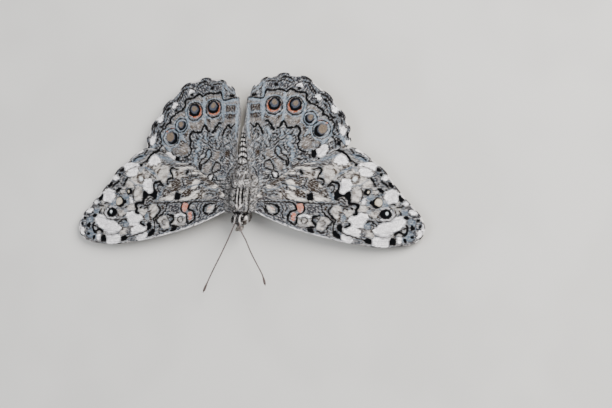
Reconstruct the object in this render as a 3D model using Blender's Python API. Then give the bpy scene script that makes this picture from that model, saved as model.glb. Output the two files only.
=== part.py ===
"""A gray cracker butterfly at rest, life size: wings flat, head towards -Y, feet on the floor at Z 0.

All sizes below are millimetres on an animal whose forewing is 38 mm long. Its left side is at +X, and its
right side is the mirror image, apart from the pose: the head is turned a little to one side, the abdomen and
the hindwings swing to the animal's right, and the feelers part unevenly.
"""

import math

import bmesh
import bpy
import numpy as np

# Driving sizes
FOREWING_LENGTH = 38.0
MM = 0.001 * FOREWING_LENGTH / 38.0
GAP = 0.3  # kept between neighbouring pieces
MEMBRANE = 0.5  # wing thickness
VEIN_RISE = 0.15  # how far a vein stands above the membrane
VEIN_HALF_WIDTH = 0.32
WING_ROOT_X = 3.2
WING_PLANE_Z = 5.5  # height of the forewing where it leaves the body
WING_DROOP = math.radians(6.0)
DROOP_FROM_X = 2.5
WING_STEP = MEMBRANE + VEIN_RISE + GAP  # the hindwing lies this far under the forewing
HINDWING_TURN = math.radians(2.4)  # both hindwings swing to the right, about HINDWING_PIVOT
HINDWING_PIVOT = (0.0, 0.5)
ABDOMEN_TURN = math.radians(2.2)
ABDOMEN_PIVOT = (0.0, 4.5)
TURN_REACH = 4.0  # a hindwing takes up its turn over this distance from its root
HEAD_TURN = math.radians(-3.5)
HEAD_PIVOT = (0.0, 0.5)

# Colours and finish of the plain solids
SCALES_GRAY = ((0.36, 0.35, 0.34, 1.0), 0.8)
SCALES_PALE = ((0.55, 0.54, 0.53, 1.0), 0.8)
FUR_GRAY = ((0.33, 0.31, 0.30, 1.0), 0.9)
EYE_BROWN = ((0.16, 0.11, 0.06, 1.0), 0.25)
FEELER_DARK = ((0.10, 0.08, 0.07, 1.0), 0.6)
LEG_GRAY = ((0.42, 0.40, 0.37, 1.0), 0.8)

# Wing outlines, seen from above. A vein has its share of the wing's width at the root, where it branches off
# and at the margin, with the share of the wing's length at which it branches. A stem is raised all the way
# from the root.
FOREWING = {
    "costa": [
        (3.2, 0.3),
        (7.3, -1.5),
        (12.0, -3.2),
        (18.6, -4.9),
        (25.0, -6.15),
        (31.0, -6.85),
        (36.8, -6.45),
    ],
    "inner": [(3.2, 2.9), (5.6, 5.6), (8.6, 7.7), (12.7, 10.2), (17.4, 11.8), (19.8, 13.3), (22.0, 14.1)],
    "outer": [
        (36.8, -6.45),
        (39.5, -5.25),
        (40.75, -3.2),
        (40.3, -1.1),
        (38.6, 1.2),
        (36.5, 3.3),
        (34.0, 6.2),
        (31.6, 9.3),
        (28.2, 12.0),
        (24.8, 14.1),
        (22.0, 14.1),
    ],
    "veins": {
        "R3": {"root": 0.10, "branch": 0.03, "margin": 0.05, "from": 0.62, "stem": True},
        "R4": {"root": 0.16, "branch": 0.06, "margin": 0.12, "from": 0.60, "stem": False},
        "R5": {"root": 0.21, "branch": 0.10, "margin": 0.20, "from": 0.56, "stem": False},
        "M1": {"root": 0.30, "branch": 0.17, "margin": 0.285, "from": 0.50, "stem": False},
        "M2": {"root": 0.40, "branch": 0.305, "margin": 0.395, "from": 0.54, "stem": False},
        "M3": {"root": 0.49, "branch": 0.42, "margin": 0.50, "from": 0.56, "stem": False},
        "CuA1": {"root": 0.525, "branch": 0.45, "margin": 0.665, "from": 0.54, "stem": False},
        "CuA2": {"root": 0.56, "branch": 0.485, "margin": 0.815, "from": 0.40, "stem": True},
        "A2": {"root": 0.80, "branch": 0.875, "margin": 0.925, "from": 0.30, "stem": True},
    },
    "cell": ("M1", "M3", 0.55),
    "scallop": 0.12,
}
HINDWING = {
    "costa": [(3.2, 3.2), (6.4, 3.8), (10.5, 5.3), (15.0, 7.6), (19.5, 10.4), (22.8, 12.8), (24.2, 14.8)],
    "inner": [
        (3.2, 5.1),
        (3.35, 6.3),
        (3.0, 7.4),
        (2.4, 8.5),
        (1.85, 9.8),
        (1.55, 11.5),
        (1.4, 13.3),
        (1.15, 15.5),
        (0.9, 17.2),
        (0.6, 18.9),
        (0.5, 20.8),
        (0.84, 24.8),
    ],
    "outer": [
        (24.2, 14.8),
        (23.9, 17.8),
        (22.4, 20.9),
        (20.4, 23.6),
        (17.8, 26.2),
        (14.6, 28.7),
        (10.0, 29.9),
        (5.2, 29.2),
        (2.3, 27.2),
        (0.84, 24.8),
    ],
    "veins": {
        "Rs": {"root": 0.22, "branch": 0.165, "margin": 0.08, "from": 0.45, "stem": True},
        "M1": {"root": 0.33, "branch": 0.285, "margin": 0.175, "from": 0.43, "stem": False},
        "M2": {"root": 0.41, "branch": 0.39, "margin": 0.34, "from": 0.42, "stem": False},
        "M3": {"root": 0.48, "branch": 0.455, "margin": 0.535, "from": 0.45, "stem": False},
        "CuA1": {"root": 0.54, "branch": 0.57, "margin": 0.69, "from": 0.35, "stem": False},
        "CuA2": {"root": 0.63, "branch": 0.69, "margin": 0.83, "from": 0.15, "stem": True},
        "A2": {"root": 0.82, "branch": 0.84, "margin": 0.915, "from": 0.40, "stem": True},
    },
    "cell": ("M1", "CuA1", 0.44),
    "scallop": 0.38,
}
INNER_FOLD_RISE = 0.65  # the hindwing's inner edge lifts over the flank of the abdomen
INNER_FOLD_DROP = 0.2  # and hangs this far below the wing behind the tail's tip
INNER_FOLD_TURNS = (17.0, 22.0)  # the distances along Y between which it goes from one to the other
INNER_FOLD_FROM_X = 3.2
INNER_FOLD_TO_X = 1.1
WING_ROWS = [0.0, 0.06, 0.13, 0.22, 0.32, 0.42, 0.52, 0.62, 0.71, 0.8, 0.88, 0.95, 1.0]
CELL_ROW_HALF = 0.015
FOOT_SHARE = 0.35  # a vein's foot takes at most this share of the space to the next vein
SCALLOP_POWER = 12  # a scallop dies away inwards as this power of the share of the wing's length
VEIN_BEND = 0.65  # how early a vein swings over towards the margin, less is earlier

# Body: distance along Y, half width, top and underside
HEAD = [
    (-0.9, 0.95, 6.0, 4.1),
    (-1.15, 1.35, 6.25, 3.8),
    (-1.55, 1.52, 6.4, 3.6),
    (-2.0, 1.45, 6.35, 3.55),
    (-2.4, 1.2, 6.15, 3.65),
    (-2.7, 0.8, 5.8, 3.9),
    (-2.82, 0.45, 5.5, 4.2),
]
THORAX = [
    (-0.6, 1.1, 5.95, 3.7),
    (-0.2, 1.6, 6.2, 3.15),
    (0.5, 2.15, 6.4, 2.6),
    (1.5, 2.5, 6.55, 2.2),
    (2.8, 2.65, 6.6, 2.05),
    (4.2, 2.55, 6.5, 2.1),
    (5.4, 2.2, 6.25, 2.25),
    (6.4, 1.75, 5.85, 2.55),
    (7.0, 1.25, 5.4, 3.0),
]
ABDOMEN = [
    (7.3, 1.05, 5.1, 3.0),
    (8.3, 1.3, 5.2, 2.6),
    (10.0, 1.35, 5.2, 2.5),
    (12.5, 1.25, 5.1, 2.6),
    (15.0, 1.05, 4.95, 2.85),
    (17.0, 0.78, 4.75, 3.2),
    (18.4, 0.45, 4.5, 3.6),
    (19.2, 0.16, 4.25, 3.95),
]
ABDOMEN_SEGMENTS = 8
SEGMENT_GROOVE = 0.05
EYE_AT = (1.2, -1.75, 5.1)
EYE_RADII = (0.68, 0.85, 0.98)
BODY_SIDES = 20
EYE_RINGS, EYE_SIDES = 8, 14
SHOULDER = ((1.0, 0.85), (2.2, 0.75), (WING_ROOT_X - GAP, 0.5))  # X and half height of a wing's seat
SHOULDER_SIDES = 12

# Limbs: a socket is a place on the body, a direction and a radius, and a limb's first point is GAP beyond it
SOCKET_SINK = 0.9
SOCKET_STANDS_OUT = 0.25
SOCKET_SIDES = 12
FEELER_SOCKET = ((0.4, -2.2, 6.0), (0.2, -0.85, 0.5), 0.33)
FEELER_LEFT = [
    (0.83, -3.6, 6.45),
    (2.2, -6.1, 6.25),
    (3.5, -8.7, 6.1),
    (4.95, -11.1, 6.0),
    (6.35, -13.4, 5.95),
    (7.15, -15.65, 5.95),
]
FEELER_RIGHT = [
    (-1.05, -3.75, 6.4),
    (-2.3, -6.3, 6.05),
    (-3.75, -9.1, 5.7),
    (-5.25, -11.8, 5.35),
    (-6.65, -14.6, 5.1),
    (-7.85, -17.3, 4.9),
]
FEELER_RADII = [0.27, 0.25, 0.25, 0.25, 0.27, 0.4, 0.24]
PALP_SOCKET = ((0.42, -2.45, 4.3), (0.05, -0.97, 0.1), 0.36)
PALP = [(0.43, -3.3, 4.5), (0.38, -3.68, 4.95), (0.32, -3.8, 5.5)]
PALP_RADII = [0.33, 0.36, 0.32, 0.2]
FORE_COXA = ((0.75, 0.3, 2.7), (0.15, -0.35, -0.9), 0.42)
FORE_LEG = [(0.95, -0.1, 1.7), (0.95, -0.9, 1.95), (0.85, -1.7, 2.35)]
FORE_RADII = [0.34, 0.36, 0.32, 0.22]
TOE_HEIGHT = 0.2  # the feet are pressed flat where they reach the floor
MID_COXA = ((1.25, 1.7, 2.3), (0.45, -0.1, -0.9), 0.5)
MID_LEG = [
    (2.3, 1.65, 1.35),
    (4.3, 1.2, 2.35),
    (6.3, 0.75, 2.9),
    (7.5, 0.45, 2.0),
    (9.1, 0.0, 0.55),
    (9.9, -0.25, TOE_HEIGHT),
    (12.3, -1.0, TOE_HEIGHT),
]
HIND_COXA = ((1.25, 4.5, 2.3), (0.4, 0.2, -0.9), 0.5)
HIND_LEG = [
    (2.2, 5.4, 1.4),
    (3.6, 7.6, 2.35),
    (4.9, 9.6, 2.9),
    (5.7, 10.9, 2.1),
    (6.9, 13.1, 0.55),
    (7.3, 13.8, TOE_HEIGHT),
    (8.4, 16.2, TOE_HEIGHT),
]
WALK_RADII = [0.42, 0.44, 0.4, 0.34, 0.3, 0.28, 0.32, 0.3]
LIMB_SIDES = 8
LIMB_STEP = 0.75
SHARP_EDGE = math.radians(50)


def clear_scene():
    """Removes what the start-up scene holds."""
    for old in list(bpy.data.objects):
        bpy.data.objects.remove(old, do_unlink=True)


def material(name, finish):
    """A plain Principled material of one colour and roughness."""
    colour, roughness = finish
    made = bpy.data.materials.new(name)
    made.use_nodes = True
    shader = made.node_tree.nodes["Principled BSDF"]
    shader.inputs["Base Color"].default_value = colour
    shader.inputs["Roughness"].default_value = roughness
    shader.inputs["Metallic"].default_value = 0.0
    return made


def place(name, points, faces, finish):
    """An object from points in millimetres and faces, with its normals pointing out."""
    mesh = bpy.data.meshes.new(name)
    mesh.from_pydata([tuple(p) for p in np.asarray(points) * MM], [], faces)
    shell = bmesh.new()
    shell.from_mesh(mesh)
    bmesh.ops.recalc_face_normals(shell, faces=shell.faces)
    bmesh.ops.triangulate(shell, faces=[f for f in shell.faces if len(f.verts) > 4])
    shell.to_mesh(mesh)
    shell.free()
    mesh.shade_smooth()
    mesh.set_sharp_from_angle(angle=SHARP_EDGE)
    mesh.materials.append(finish)
    made = bpy.data.objects.new(name, mesh)
    bpy.context.scene.collection.objects.link(made)
    return made


def smooth_line(points):
    """A curve through the points, read at a share of its length: cubic pieces with matched slopes."""
    at = np.array(points, float)
    steps = np.linalg.norm(np.diff(at, axis=0), axis=1)
    share = np.concatenate([[0.0], np.cumsum(steps)]) / steps.sum()
    slope = np.gradient(at, share, axis=0)

    def read(t):
        t = np.asarray(t, float)
        i = np.clip(np.searchsorted(share, t, side="right") - 1, 0, len(share) - 2)
        width = (share[i + 1] - share[i])[..., None]
        f = (t[..., None] - share[i][..., None]) / width
        start = (1 + 2 * f) * (1 - f) ** 2 * at[i] + f * (1 - f) ** 2 * width * slope[i]
        end = f * f * (3 - 2 * f) * at[i + 1] - f * f * (1 - f) * width * slope[i + 1]
        return start + end

    return read


def ease(t):
    """From 0 to 1 with level ends."""
    t = np.clip(t, 0.0, 1.0)
    return t * t * (3 - 2 * t)


def mirrored(points, side):
    """The points on the given side, 1 for the animal's left and -1 for its right."""
    return np.asarray(points, float) * [side, 1.0, 1.0]


def turned(points, angle, pivot):
    """The points turned about the upright line through the pivot."""
    points = np.asarray(points, float)
    c, s = math.cos(angle), math.sin(angle)
    x, y = points[..., 0] - pivot[0], points[..., 1] - pivot[1]
    return np.stack([pivot[0] + c * x - s * y, pivot[1] + s * x + c * y, points[..., 2]], axis=-1)


def head_turned(points):
    return turned(points, HEAD_TURN, HEAD_PIVOT)


def hindwing_turned(points, side):
    """The hindwing's points, which take up its turn over TURN_REACH from its root."""
    root = np.mean([HINDWING["costa"][0], HINDWING["inner"][0]], axis=0) * [side, 1.0]
    share = ease(np.linalg.norm(points[..., :2] - root, axis=-1) / TURN_REACH)[..., None]
    return points + share * (turned(points, HINDWING_TURN, HINDWING_PIVOT) - points)


def forewing_height(x, y):
    """The height of the forewing's middle surface: level to DROOP_FROM_X, then down to the tip."""
    return WING_PLANE_Z - math.tan(WING_DROOP) * np.clip(x - DROOP_FROM_X, 0.0, None)


def hindwing_height(x, y):
    """The hindwing lies WING_STEP under the forewing, and its inner edge lifts over the abdomen."""
    start, end = INNER_FOLD_TURNS
    lift = INNER_FOLD_RISE - (INNER_FOLD_RISE + INNER_FOLD_DROP) * ease((y - start) / (end - start))
    fold = ease((INNER_FOLD_FROM_X - x) / (INNER_FOLD_FROM_X - INNER_FOLD_TO_X))
    return forewing_height(x, y) - WING_STEP + lift * fold


def vein_course(vein, rows):
    """A vein's share of the wing's width at each row: from root to branch, then over to the margin."""
    before = np.clip(1 - rows / vein["from"], 0.0, 1.0) ** 2
    after = np.clip((rows - vein["from"]) / (1 - vein["from"]), 0.0, 1.0) ** VEIN_BEND
    course = vein["branch"] + (vein["root"] - vein["branch"]) * before
    return course + (vein["margin"] - vein["branch"]) * after


def wing_grid(wing):
    """The rows, the columns' shares of the width at each row, and how high the grid stands on its veins.

    Each vein has a crest and two feet, and one more column runs midway between neighbouring veins.
    """
    first, last, end = wing["cell"]
    rows = np.array(sorted(WING_ROWS + [end - CELL_ROW_HALF, end, end + CELL_ROW_HALF]))
    courses = {name: vein_course(vein, rows) for name, vein in wing["veins"].items()}
    edges = np.vstack([np.zeros_like(rows), *courses.values(), np.ones_like(rows)])
    slack = np.diff(edges, axis=0)
    chord = np.linalg.norm(smooth_line(wing["costa"])(rows) - smooth_line(wing["inner"])(rows), axis=1)
    foot = np.minimum(VEIN_HALF_WIDTH / chord, FOOT_SHARE * slack)
    columns, heights = [edges[0], foot[0]], [np.ones_like(rows), np.zeros_like(rows)]
    for i, (name, course) in enumerate(courses.items()):
        vein = wing["veins"][name]
        raised = np.ones_like(rows)
        if not vein["stem"]:
            raised = (rows >= vein["from"] - CELL_ROW_HALF).astype(float)
        columns += [edges[i] + slack[i] / 2, course - foot[i], course, course + foot[i + 1]]
        heights += [0 * rows, 0 * rows, raised, 0 * rows]
    columns += [edges[-2] + slack[-1] / 2, edges[-1]]
    heights += [0 * rows, 0 * rows]
    columns, heights = np.array(columns), np.array(heights)
    across = (columns > courses[first]) & (columns < courses[last]) & (rows == end)
    fade = ease(rows / WING_ROWS[3])
    return rows, columns, VEIN_RISE * np.maximum(heights, across) * fade


def wing_plan(wing, rows, columns):
    """Points of the wing seen from above: a patch that blends its root, costa, inner edge and margin."""
    u, v = rows[None, :, None], columns[..., None]
    costa, inner = smooth_line(wing["costa"]), smooth_line(wing["inner"])
    corner, tip = np.array(wing["costa"][0]), np.array(wing["costa"][-1])
    root = corner + v * (np.array(wing["inner"][0]) - corner)
    line = tip + v * (np.array(wing["inner"][-1]) - tip)
    sides = (1 - v) * costa(rows)[None] + v * inner(rows)[None]
    plan = sides + u * (smooth_line(wing["outer"])(columns) - line)
    # The margin draws in between the ends of the veins.
    ends = np.array([0.0] + [vein["margin"] for vein in wing["veins"].values()] + [1.0])
    i = np.clip(np.searchsorted(ends, columns, side="right") - 1, 0, len(ends) - 2)
    share = (columns - ends[i]) / (ends[i + 1] - ends[i])
    pull = wing["scallop"] * np.sin(np.pi * share) ** 2 * rows**SCALLOP_POWER
    outwards = plan - root
    length = np.maximum(np.linalg.norm(outwards, axis=-1, keepdims=True), WING_ROOT_X)
    return plan - outwards / length * pull[..., None]


def wing_solid(name, wing, height, pose, finish):
    """A wing as a closed plate with its veins raised from the upper face, split alike on both faces."""
    rows, columns, rise = wing_grid(wing)
    plan = wing_plan(wing, rows, columns)
    z = height(plan[..., 0], plan[..., 1])
    upper = np.dstack([plan, z + MEMBRANE / 2 + rise]).reshape(-1, 3)
    lower = np.dstack([plan, z - MEMBRANE / 2]).reshape(-1, 3)
    points = pose(np.concatenate([upper, lower]))
    under = len(upper)
    at = np.arange(under).reshape(columns.shape)
    a, b, c, d = at[:-1, :-1].ravel(), at[1:, :-1].ravel(), at[1:, 1:].ravel(), at[:-1, 1:].ravel()
    faces = np.concatenate([np.stack([a, b, c], axis=1), np.stack([a, c, d], axis=1)])
    faces = np.concatenate([faces, faces[:, ::-1] + under])
    rim = np.concatenate([at[:, 0], at[-1, 1:], at[-2::-1, -1], at[0, -2:0:-1]])
    beyond = np.roll(rim, -1)
    wall = np.stack([rim, rim + under, beyond + under], axis=1)
    other_wall = np.stack([rim, beyond + under, beyond], axis=1)
    return place(name, points, np.concatenate([faces, wall, other_wall]).tolist(), finish)


def loft(name, rings, finish):
    """A closed solid through rings of points, all of one length, with a flat cap at each end."""
    rings = np.asarray(rings, float)
    at = np.arange(rings.shape[0] * rings.shape[1]).reshape(rings.shape[:2])
    beyond = np.roll(at, -1, axis=1)
    sides = np.stack([at[:-1], beyond[:-1], beyond[1:], at[1:]], axis=-1).reshape(-1, 4)
    faces = sides.tolist() + [at[0][::-1].tolist(), at[-1].tolist()]
    return place(name, rings.reshape(-1, 3), faces, finish)


def circle(sides, offset=0.0):
    angle = np.linspace(0, 2 * math.pi, sides, endpoint=False) + offset
    return np.cos(angle), np.sin(angle)


def body_rings(stations):
    """Upright ellipses along Y, from rows of distance, half width, top and underside."""
    c, s = circle(BODY_SIDES)
    y, half, top, under = (np.array(column)[:, None] for column in zip(*stations))
    return np.stack([half * c, y + 0 * c, (top + under) / 2 + (top - under) / 2 * s], axis=-1)


def tube_rings(path, radii, first_way, sides, steps):
    """Round rings along a smooth line through the path. The first ring faces first_way."""
    t = np.linspace(0, 1, steps + 1)
    centre = smooth_line(path)(t)
    lengths = np.concatenate([[0.0], np.cumsum(np.linalg.norm(np.diff(path, axis=0), axis=1))])
    radius = np.interp(t, lengths / lengths[-1], radii)
    way = np.gradient(centre, axis=0)
    way[0] = first_way
    way /= np.linalg.norm(way, axis=1)[:, None]
    across = np.cross(way, [0.0, 0.0, 1.0])
    across /= np.linalg.norm(across, axis=1)[:, None]
    over = np.cross(across, way)
    c, s = circle(sides, math.pi / sides)
    spread = c[None, :, None] * across[:, None] + s[None, :, None] * over[:, None]
    return centre[:, None] + radius[:, None, None] * spread


def socket_line(socket, side, distance):
    """The socket's middle at a distance along its direction, and the direction, on the given side."""
    at, way, _ = socket
    way = np.array(way) / np.linalg.norm(way)
    return mirrored(np.array(at) + way * distance, side), mirrored(way, side)


def stub(name, socket, finish, side):
    """A short round stub that stands out of the body, for a limb to meet."""
    low, way = socket_line(socket, side, -SOCKET_SINK)
    high, _ = socket_line(socket, side, SOCKET_STANDS_OUT)
    return loft(name, tube_rings(np.array([low, high]), [socket[2]] * 2, way, SOCKET_SIDES, 1), finish)


def limb(name, root, way, points, radii, finish):
    """A tapered limb from its root, which faces its socket, and on through the points."""
    path = np.vstack([root, points])
    length = np.linalg.norm(np.diff(path, axis=0), axis=1).sum()
    steps = max(len(points), int(round(length / LIMB_STEP)))
    return loft(name, tube_rings(path, radii, way, LIMB_SIDES, steps), finish)


def ball_rings(centre, radii):
    """Rings of an ellipsoid whose poles are on the X axis."""
    lift = (np.linspace(-0.5, 0.5, EYE_RINGS + 1)[1:-1] * math.pi)[:, None]
    c, s = circle(EYE_SIDES)
    x = centre[0] + radii[0] * np.sin(lift) + 0 * c
    y = centre[1] + radii[1] * np.cos(lift) * c
    z = centre[2] + radii[2] * np.cos(lift) * s
    return np.stack([x, y, z], axis=-1)


def combine(base, others, operation):
    """Joins or cuts the base with closed pieces, which are removed, and keeps its largest closed surface."""
    group = bpy.data.collections.new(base.name + "_with")
    bpy.context.scene.collection.children.link(group)
    for other in others:
        bpy.context.scene.collection.objects.unlink(other)
        group.objects.link(other)
    modifier = base.modifiers.new(operation, "BOOLEAN")
    modifier.operation = operation
    modifier.operand_type = "COLLECTION"
    modifier.collection = group
    modifier.solver = "EXACT"
    graph = bpy.context.evaluated_depsgraph_get()
    result = bpy.data.meshes.new_from_object(base.evaluated_get(graph))
    base.modifiers.clear()
    base.data = result
    for other in others:
        bpy.data.objects.remove(other, do_unlink=True)
    bpy.data.collections.remove(group)
    keep_largest(base)


def keep_largest(obj):
    """Keeps only the largest closed surface of the object, and drops any scrap that a cut left."""
    shell = bmesh.new()
    shell.from_mesh(obj.data)
    left, surfaces = set(shell.verts), []
    while left:
        reached, edge = set(), [left.pop()]
        while edge:
            vertex = edge.pop()
            reached.add(vertex)
            for link in vertex.link_edges:
                other = link.other_vert(vertex)
                if other in left:
                    left.discard(other)
                    edge.append(other)
        surfaces.append(reached)
    largest = max(surfaces, key=len)
    bmesh.ops.delete(shell, geom=[v for v in shell.verts if v not in largest], context="VERTS")
    shell.to_mesh(obj.data)
    shell.free()


def wing_seat(name, wing, z, finish, side):
    """The shoulder on the thorax whose flat end a wing's root meets."""
    front, back = wing["costa"][0][1], wing["inner"][0][1]
    c, s = circle(SHOULDER_SIDES)
    rings = []
    for x, half_height in SHOULDER:
        y = (front + back) / 2 + (back - front) / 2 * c
        rings.append(np.stack([np.full_like(c, side * x), y, z + half_height * s], axis=-1))
    return loft(name, rings, finish)


def make_thorax(finish):
    thorax = loft("thorax", body_rings(THORAX), finish)
    joined = []
    for side in (1, -1):
        for row, coxa in (("fore", FORE_COXA), ("mid", MID_COXA), ("hind", HIND_COXA)):
            joined.append(stub(f"{row}_coxa_{side}", coxa, finish, side))
        joined.append(wing_seat(f"forewing_seat_{side}", FOREWING, WING_PLANE_Z, finish, side))
        joined.append(wing_seat(f"hindwing_seat_{side}", HINDWING, WING_PLANE_Z - WING_STEP, finish, side))
    combine(thorax, joined, "UNION")


def make_head(finish):
    """The head with a hollow for each eye and a stub for each feeler and palp."""
    head = loft("head", body_rings(HEAD), finish)
    joined, cut = [], []
    for side in (1, -1):
        joined.append(stub(f"feeler_stub_{side}", FEELER_SOCKET, finish, side))
        joined.append(stub(f"palp_stub_{side}", PALP_SOCKET, finish, side))
        hollow = ball_rings(mirrored(EYE_AT, side), np.add(EYE_RADII, GAP))
        cut.append(loft(f"eye_hollow_{side}", hollow, finish))
    combine(head, joined, "UNION")
    combine(head, cut, "DIFFERENCE")
    points = np.array([vertex.co[:] for vertex in head.data.vertices]) / MM
    head.data.vertices.foreach_set("co", (head_turned(points) * MM).ravel())


def make_abdomen(finish):
    """A tapering round body with a shallow groove between its segments, swung a little to one side."""
    rows = np.array(ABDOMEN)
    y = np.linspace(rows[0, 0], rows[-1, 0], 3 * ABDOMEN_SEGMENTS + 1)
    half, top, under = (np.interp(y, rows[:, 0], rows[:, i]) for i in (1, 2, 3))
    groove = np.where(np.arange(len(y)) % 3 == 0, SEGMENT_GROOVE, 0.0)
    groove[[0, -1]] = 0.0
    rings = body_rings(zip(y, half - groove, top - groove, under + groove))
    loft("abdomen", turned(rings, ABDOMEN_TURN, ABDOMEN_PIVOT), finish)


def make_wings(word, side, fore_finish, hind_finish):
    def fore_pose(points):
        return mirrored(points, side)

    def hind_pose(points):
        return hindwing_turned(mirrored(points, side), side)

    wing_solid(f"forewing_{word}", FOREWING, forewing_height, fore_pose, fore_finish)
    wing_solid(f"hindwing_{word}", HINDWING, hindwing_height, hind_pose, hind_finish)


def make_face(word, side, eye, dark, fur):
    """The eye, the feeler and the palp of one side."""
    loft(f"eye_{word}", head_turned(ball_rings(mirrored(EYE_AT, side), EYE_RADII)), eye)
    root, way = socket_line(FEELER_SOCKET, side, SOCKET_STANDS_OUT + GAP)
    feeler = FEELER_LEFT if side == 1 else FEELER_RIGHT
    limb(f"antenna_{word}", head_turned(root), turned(way, HEAD_TURN, (0, 0)), feeler, FEELER_RADII, dark)
    root, way = socket_line(PALP_SOCKET, side, SOCKET_STANDS_OUT + GAP)
    palp = head_turned(mirrored(PALP, side))
    limb(f"palp_{word}", head_turned(root), turned(way, HEAD_TURN, (0, 0)), palp, PALP_RADII, fur)


def make_legs(word, side, finish):
    """The small foreleg, held up, and the walking legs, whose feet are pressed flat on the floor."""
    for row, coxa, points, radii in (
        ("fore", FORE_COXA, FORE_LEG, FORE_RADII),
        ("mid", MID_COXA, MID_LEG, WALK_RADII),
        ("hind", HIND_COXA, HIND_LEG, WALK_RADII),
    ):
        root, way = socket_line(coxa, side, SOCKET_STANDS_OUT + GAP)
        leg = limb(f"{row}leg_{word}", root, way, mirrored(points, side), radii, finish)
        for vertex in leg.data.vertices:
            vertex.co.z = max(vertex.co.z, 0.0)


def centre_on_floor():
    """Moves every piece so that the middle of the whole model's box is over the origin."""
    points = np.concatenate([[v.co[:] for v in obj.data.vertices] for obj in bpy.data.objects])
    middle = (points.min(axis=0) + points.max(axis=0)) / 2
    for obj in bpy.data.objects:
        obj.location = (-middle[0], -middle[1], 0.0)


def main():
    clear_scene()
    fur = material("gray_fur", FUR_GRAY)
    fore = material("forewing_scales", SCALES_PALE)
    hind = material("hindwing_scales", SCALES_GRAY)
    eye = material("brown_eye", EYE_BROWN)
    dark = material("dark_feeler", FEELER_DARK)
    leg = material("gray_leg", LEG_GRAY)
    make_thorax(fur)
    make_head(fur)
    make_abdomen(fur)
    for word, side in (("left", 1), ("right", -1)):
        make_wings(word, side, fore, hind)
        make_face(word, side, eye, dark, fur)
        make_legs(word, side, leg)
    centre_on_floor()


main()
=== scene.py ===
import math

import bpy
import numpy as np
from mathutils import Matrix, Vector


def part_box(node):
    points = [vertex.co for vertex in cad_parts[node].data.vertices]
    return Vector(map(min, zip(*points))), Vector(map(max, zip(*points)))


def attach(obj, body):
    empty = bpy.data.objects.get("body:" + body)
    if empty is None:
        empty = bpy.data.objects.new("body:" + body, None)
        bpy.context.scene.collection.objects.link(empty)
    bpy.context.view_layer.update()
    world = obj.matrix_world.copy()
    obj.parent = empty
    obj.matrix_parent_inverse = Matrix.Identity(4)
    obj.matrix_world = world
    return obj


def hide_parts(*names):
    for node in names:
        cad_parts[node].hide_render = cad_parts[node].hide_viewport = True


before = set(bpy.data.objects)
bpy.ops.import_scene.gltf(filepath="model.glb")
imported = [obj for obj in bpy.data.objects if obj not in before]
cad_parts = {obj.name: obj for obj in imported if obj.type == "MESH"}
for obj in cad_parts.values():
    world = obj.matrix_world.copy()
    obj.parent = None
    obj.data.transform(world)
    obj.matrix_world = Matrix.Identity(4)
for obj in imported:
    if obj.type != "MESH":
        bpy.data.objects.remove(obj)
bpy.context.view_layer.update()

# Lengths below are millimetres on the animal, as measured: x 0 is its midline, y 0 the front of the wing roots,
# z 0 the floor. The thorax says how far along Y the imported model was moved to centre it.
mm = 0.001
thoraxFront = -0.6
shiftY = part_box("thorax")[0].y / mm - thoraxFront
random = np.random.default_rng(7)
bothSides = (("left", 1), ("right", -1))


# Small helpers for curves and arrays

def ease(t):
    # 0 to 1 with level ends: three t squared less two t cubed
    t = np.clip(t, 0.0, 1.0)
    return t * t * (3 - 2 * t)


def smoothLine(points):
    # a curve through the points, read at a share of its length: cubic pieces with matched slopes
    at = np.array(points, float)
    steps = np.linalg.norm(np.diff(at, axis=0), axis=1)
    share = np.concatenate([[0.0], np.cumsum(steps)]) / steps.sum()
    slope = np.gradient(at, share, axis=0)

    def read(t):
        t = np.asarray(t, float)
        i = np.clip(np.searchsorted(share, t, side="right") - 1, 0, len(share) - 2)
        width = (share[i + 1] - share[i])[..., None]
        f = (t[..., None] - share[i][..., None]) / width
        start = (1 + 2 * f) * (1 - f) ** 2 * at[i] + f * (1 - f) ** 2 * width * slope[i]
        end = f * f * (3 - 2 * f) * at[i + 1] - f * f * (1 - f) * width * slope[i + 1]
        return start + end

    return read


def turned(points, degrees, pivot):
    # the points turned about the upright line through the pivot
    points = np.asarray(points, float)
    c, s = math.cos(math.radians(degrees)), math.sin(math.radians(degrees))
    x, y = points[..., 0] - pivot[0], points[..., 1] - pivot[1]
    return np.stack([pivot[0] + c * x - s * y, pivot[1] + s * x + c * y, points[..., 2]], axis=-1)


def unit(vectors):
    # each vector over its length
    return vectors / np.maximum(np.linalg.norm(vectors, axis=-1, keepdims=True), 1e-9)


def ripple(at, size, seed, count=7):
    # a soft wavy value of about -1 to 1: the mean of sine waves of about the given size in many directions
    draw = np.random.default_rng(seed)
    angle = draw.uniform(0, 2 * np.pi, count)
    wave = 2 * np.pi / (size * draw.uniform(0.7, 1.5, count))
    phase = draw.uniform(0, 2 * np.pi, count)
    total = 0.0
    for a, w, p in zip(angle, wave, phase):
        total = total + np.sin(w * (np.cos(a) * at[..., 0] + np.sin(a) * at[..., 1]) + p)
    return total / math.sqrt(count)


# Shader maths: a wrapped socket adds its own nodes

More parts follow.
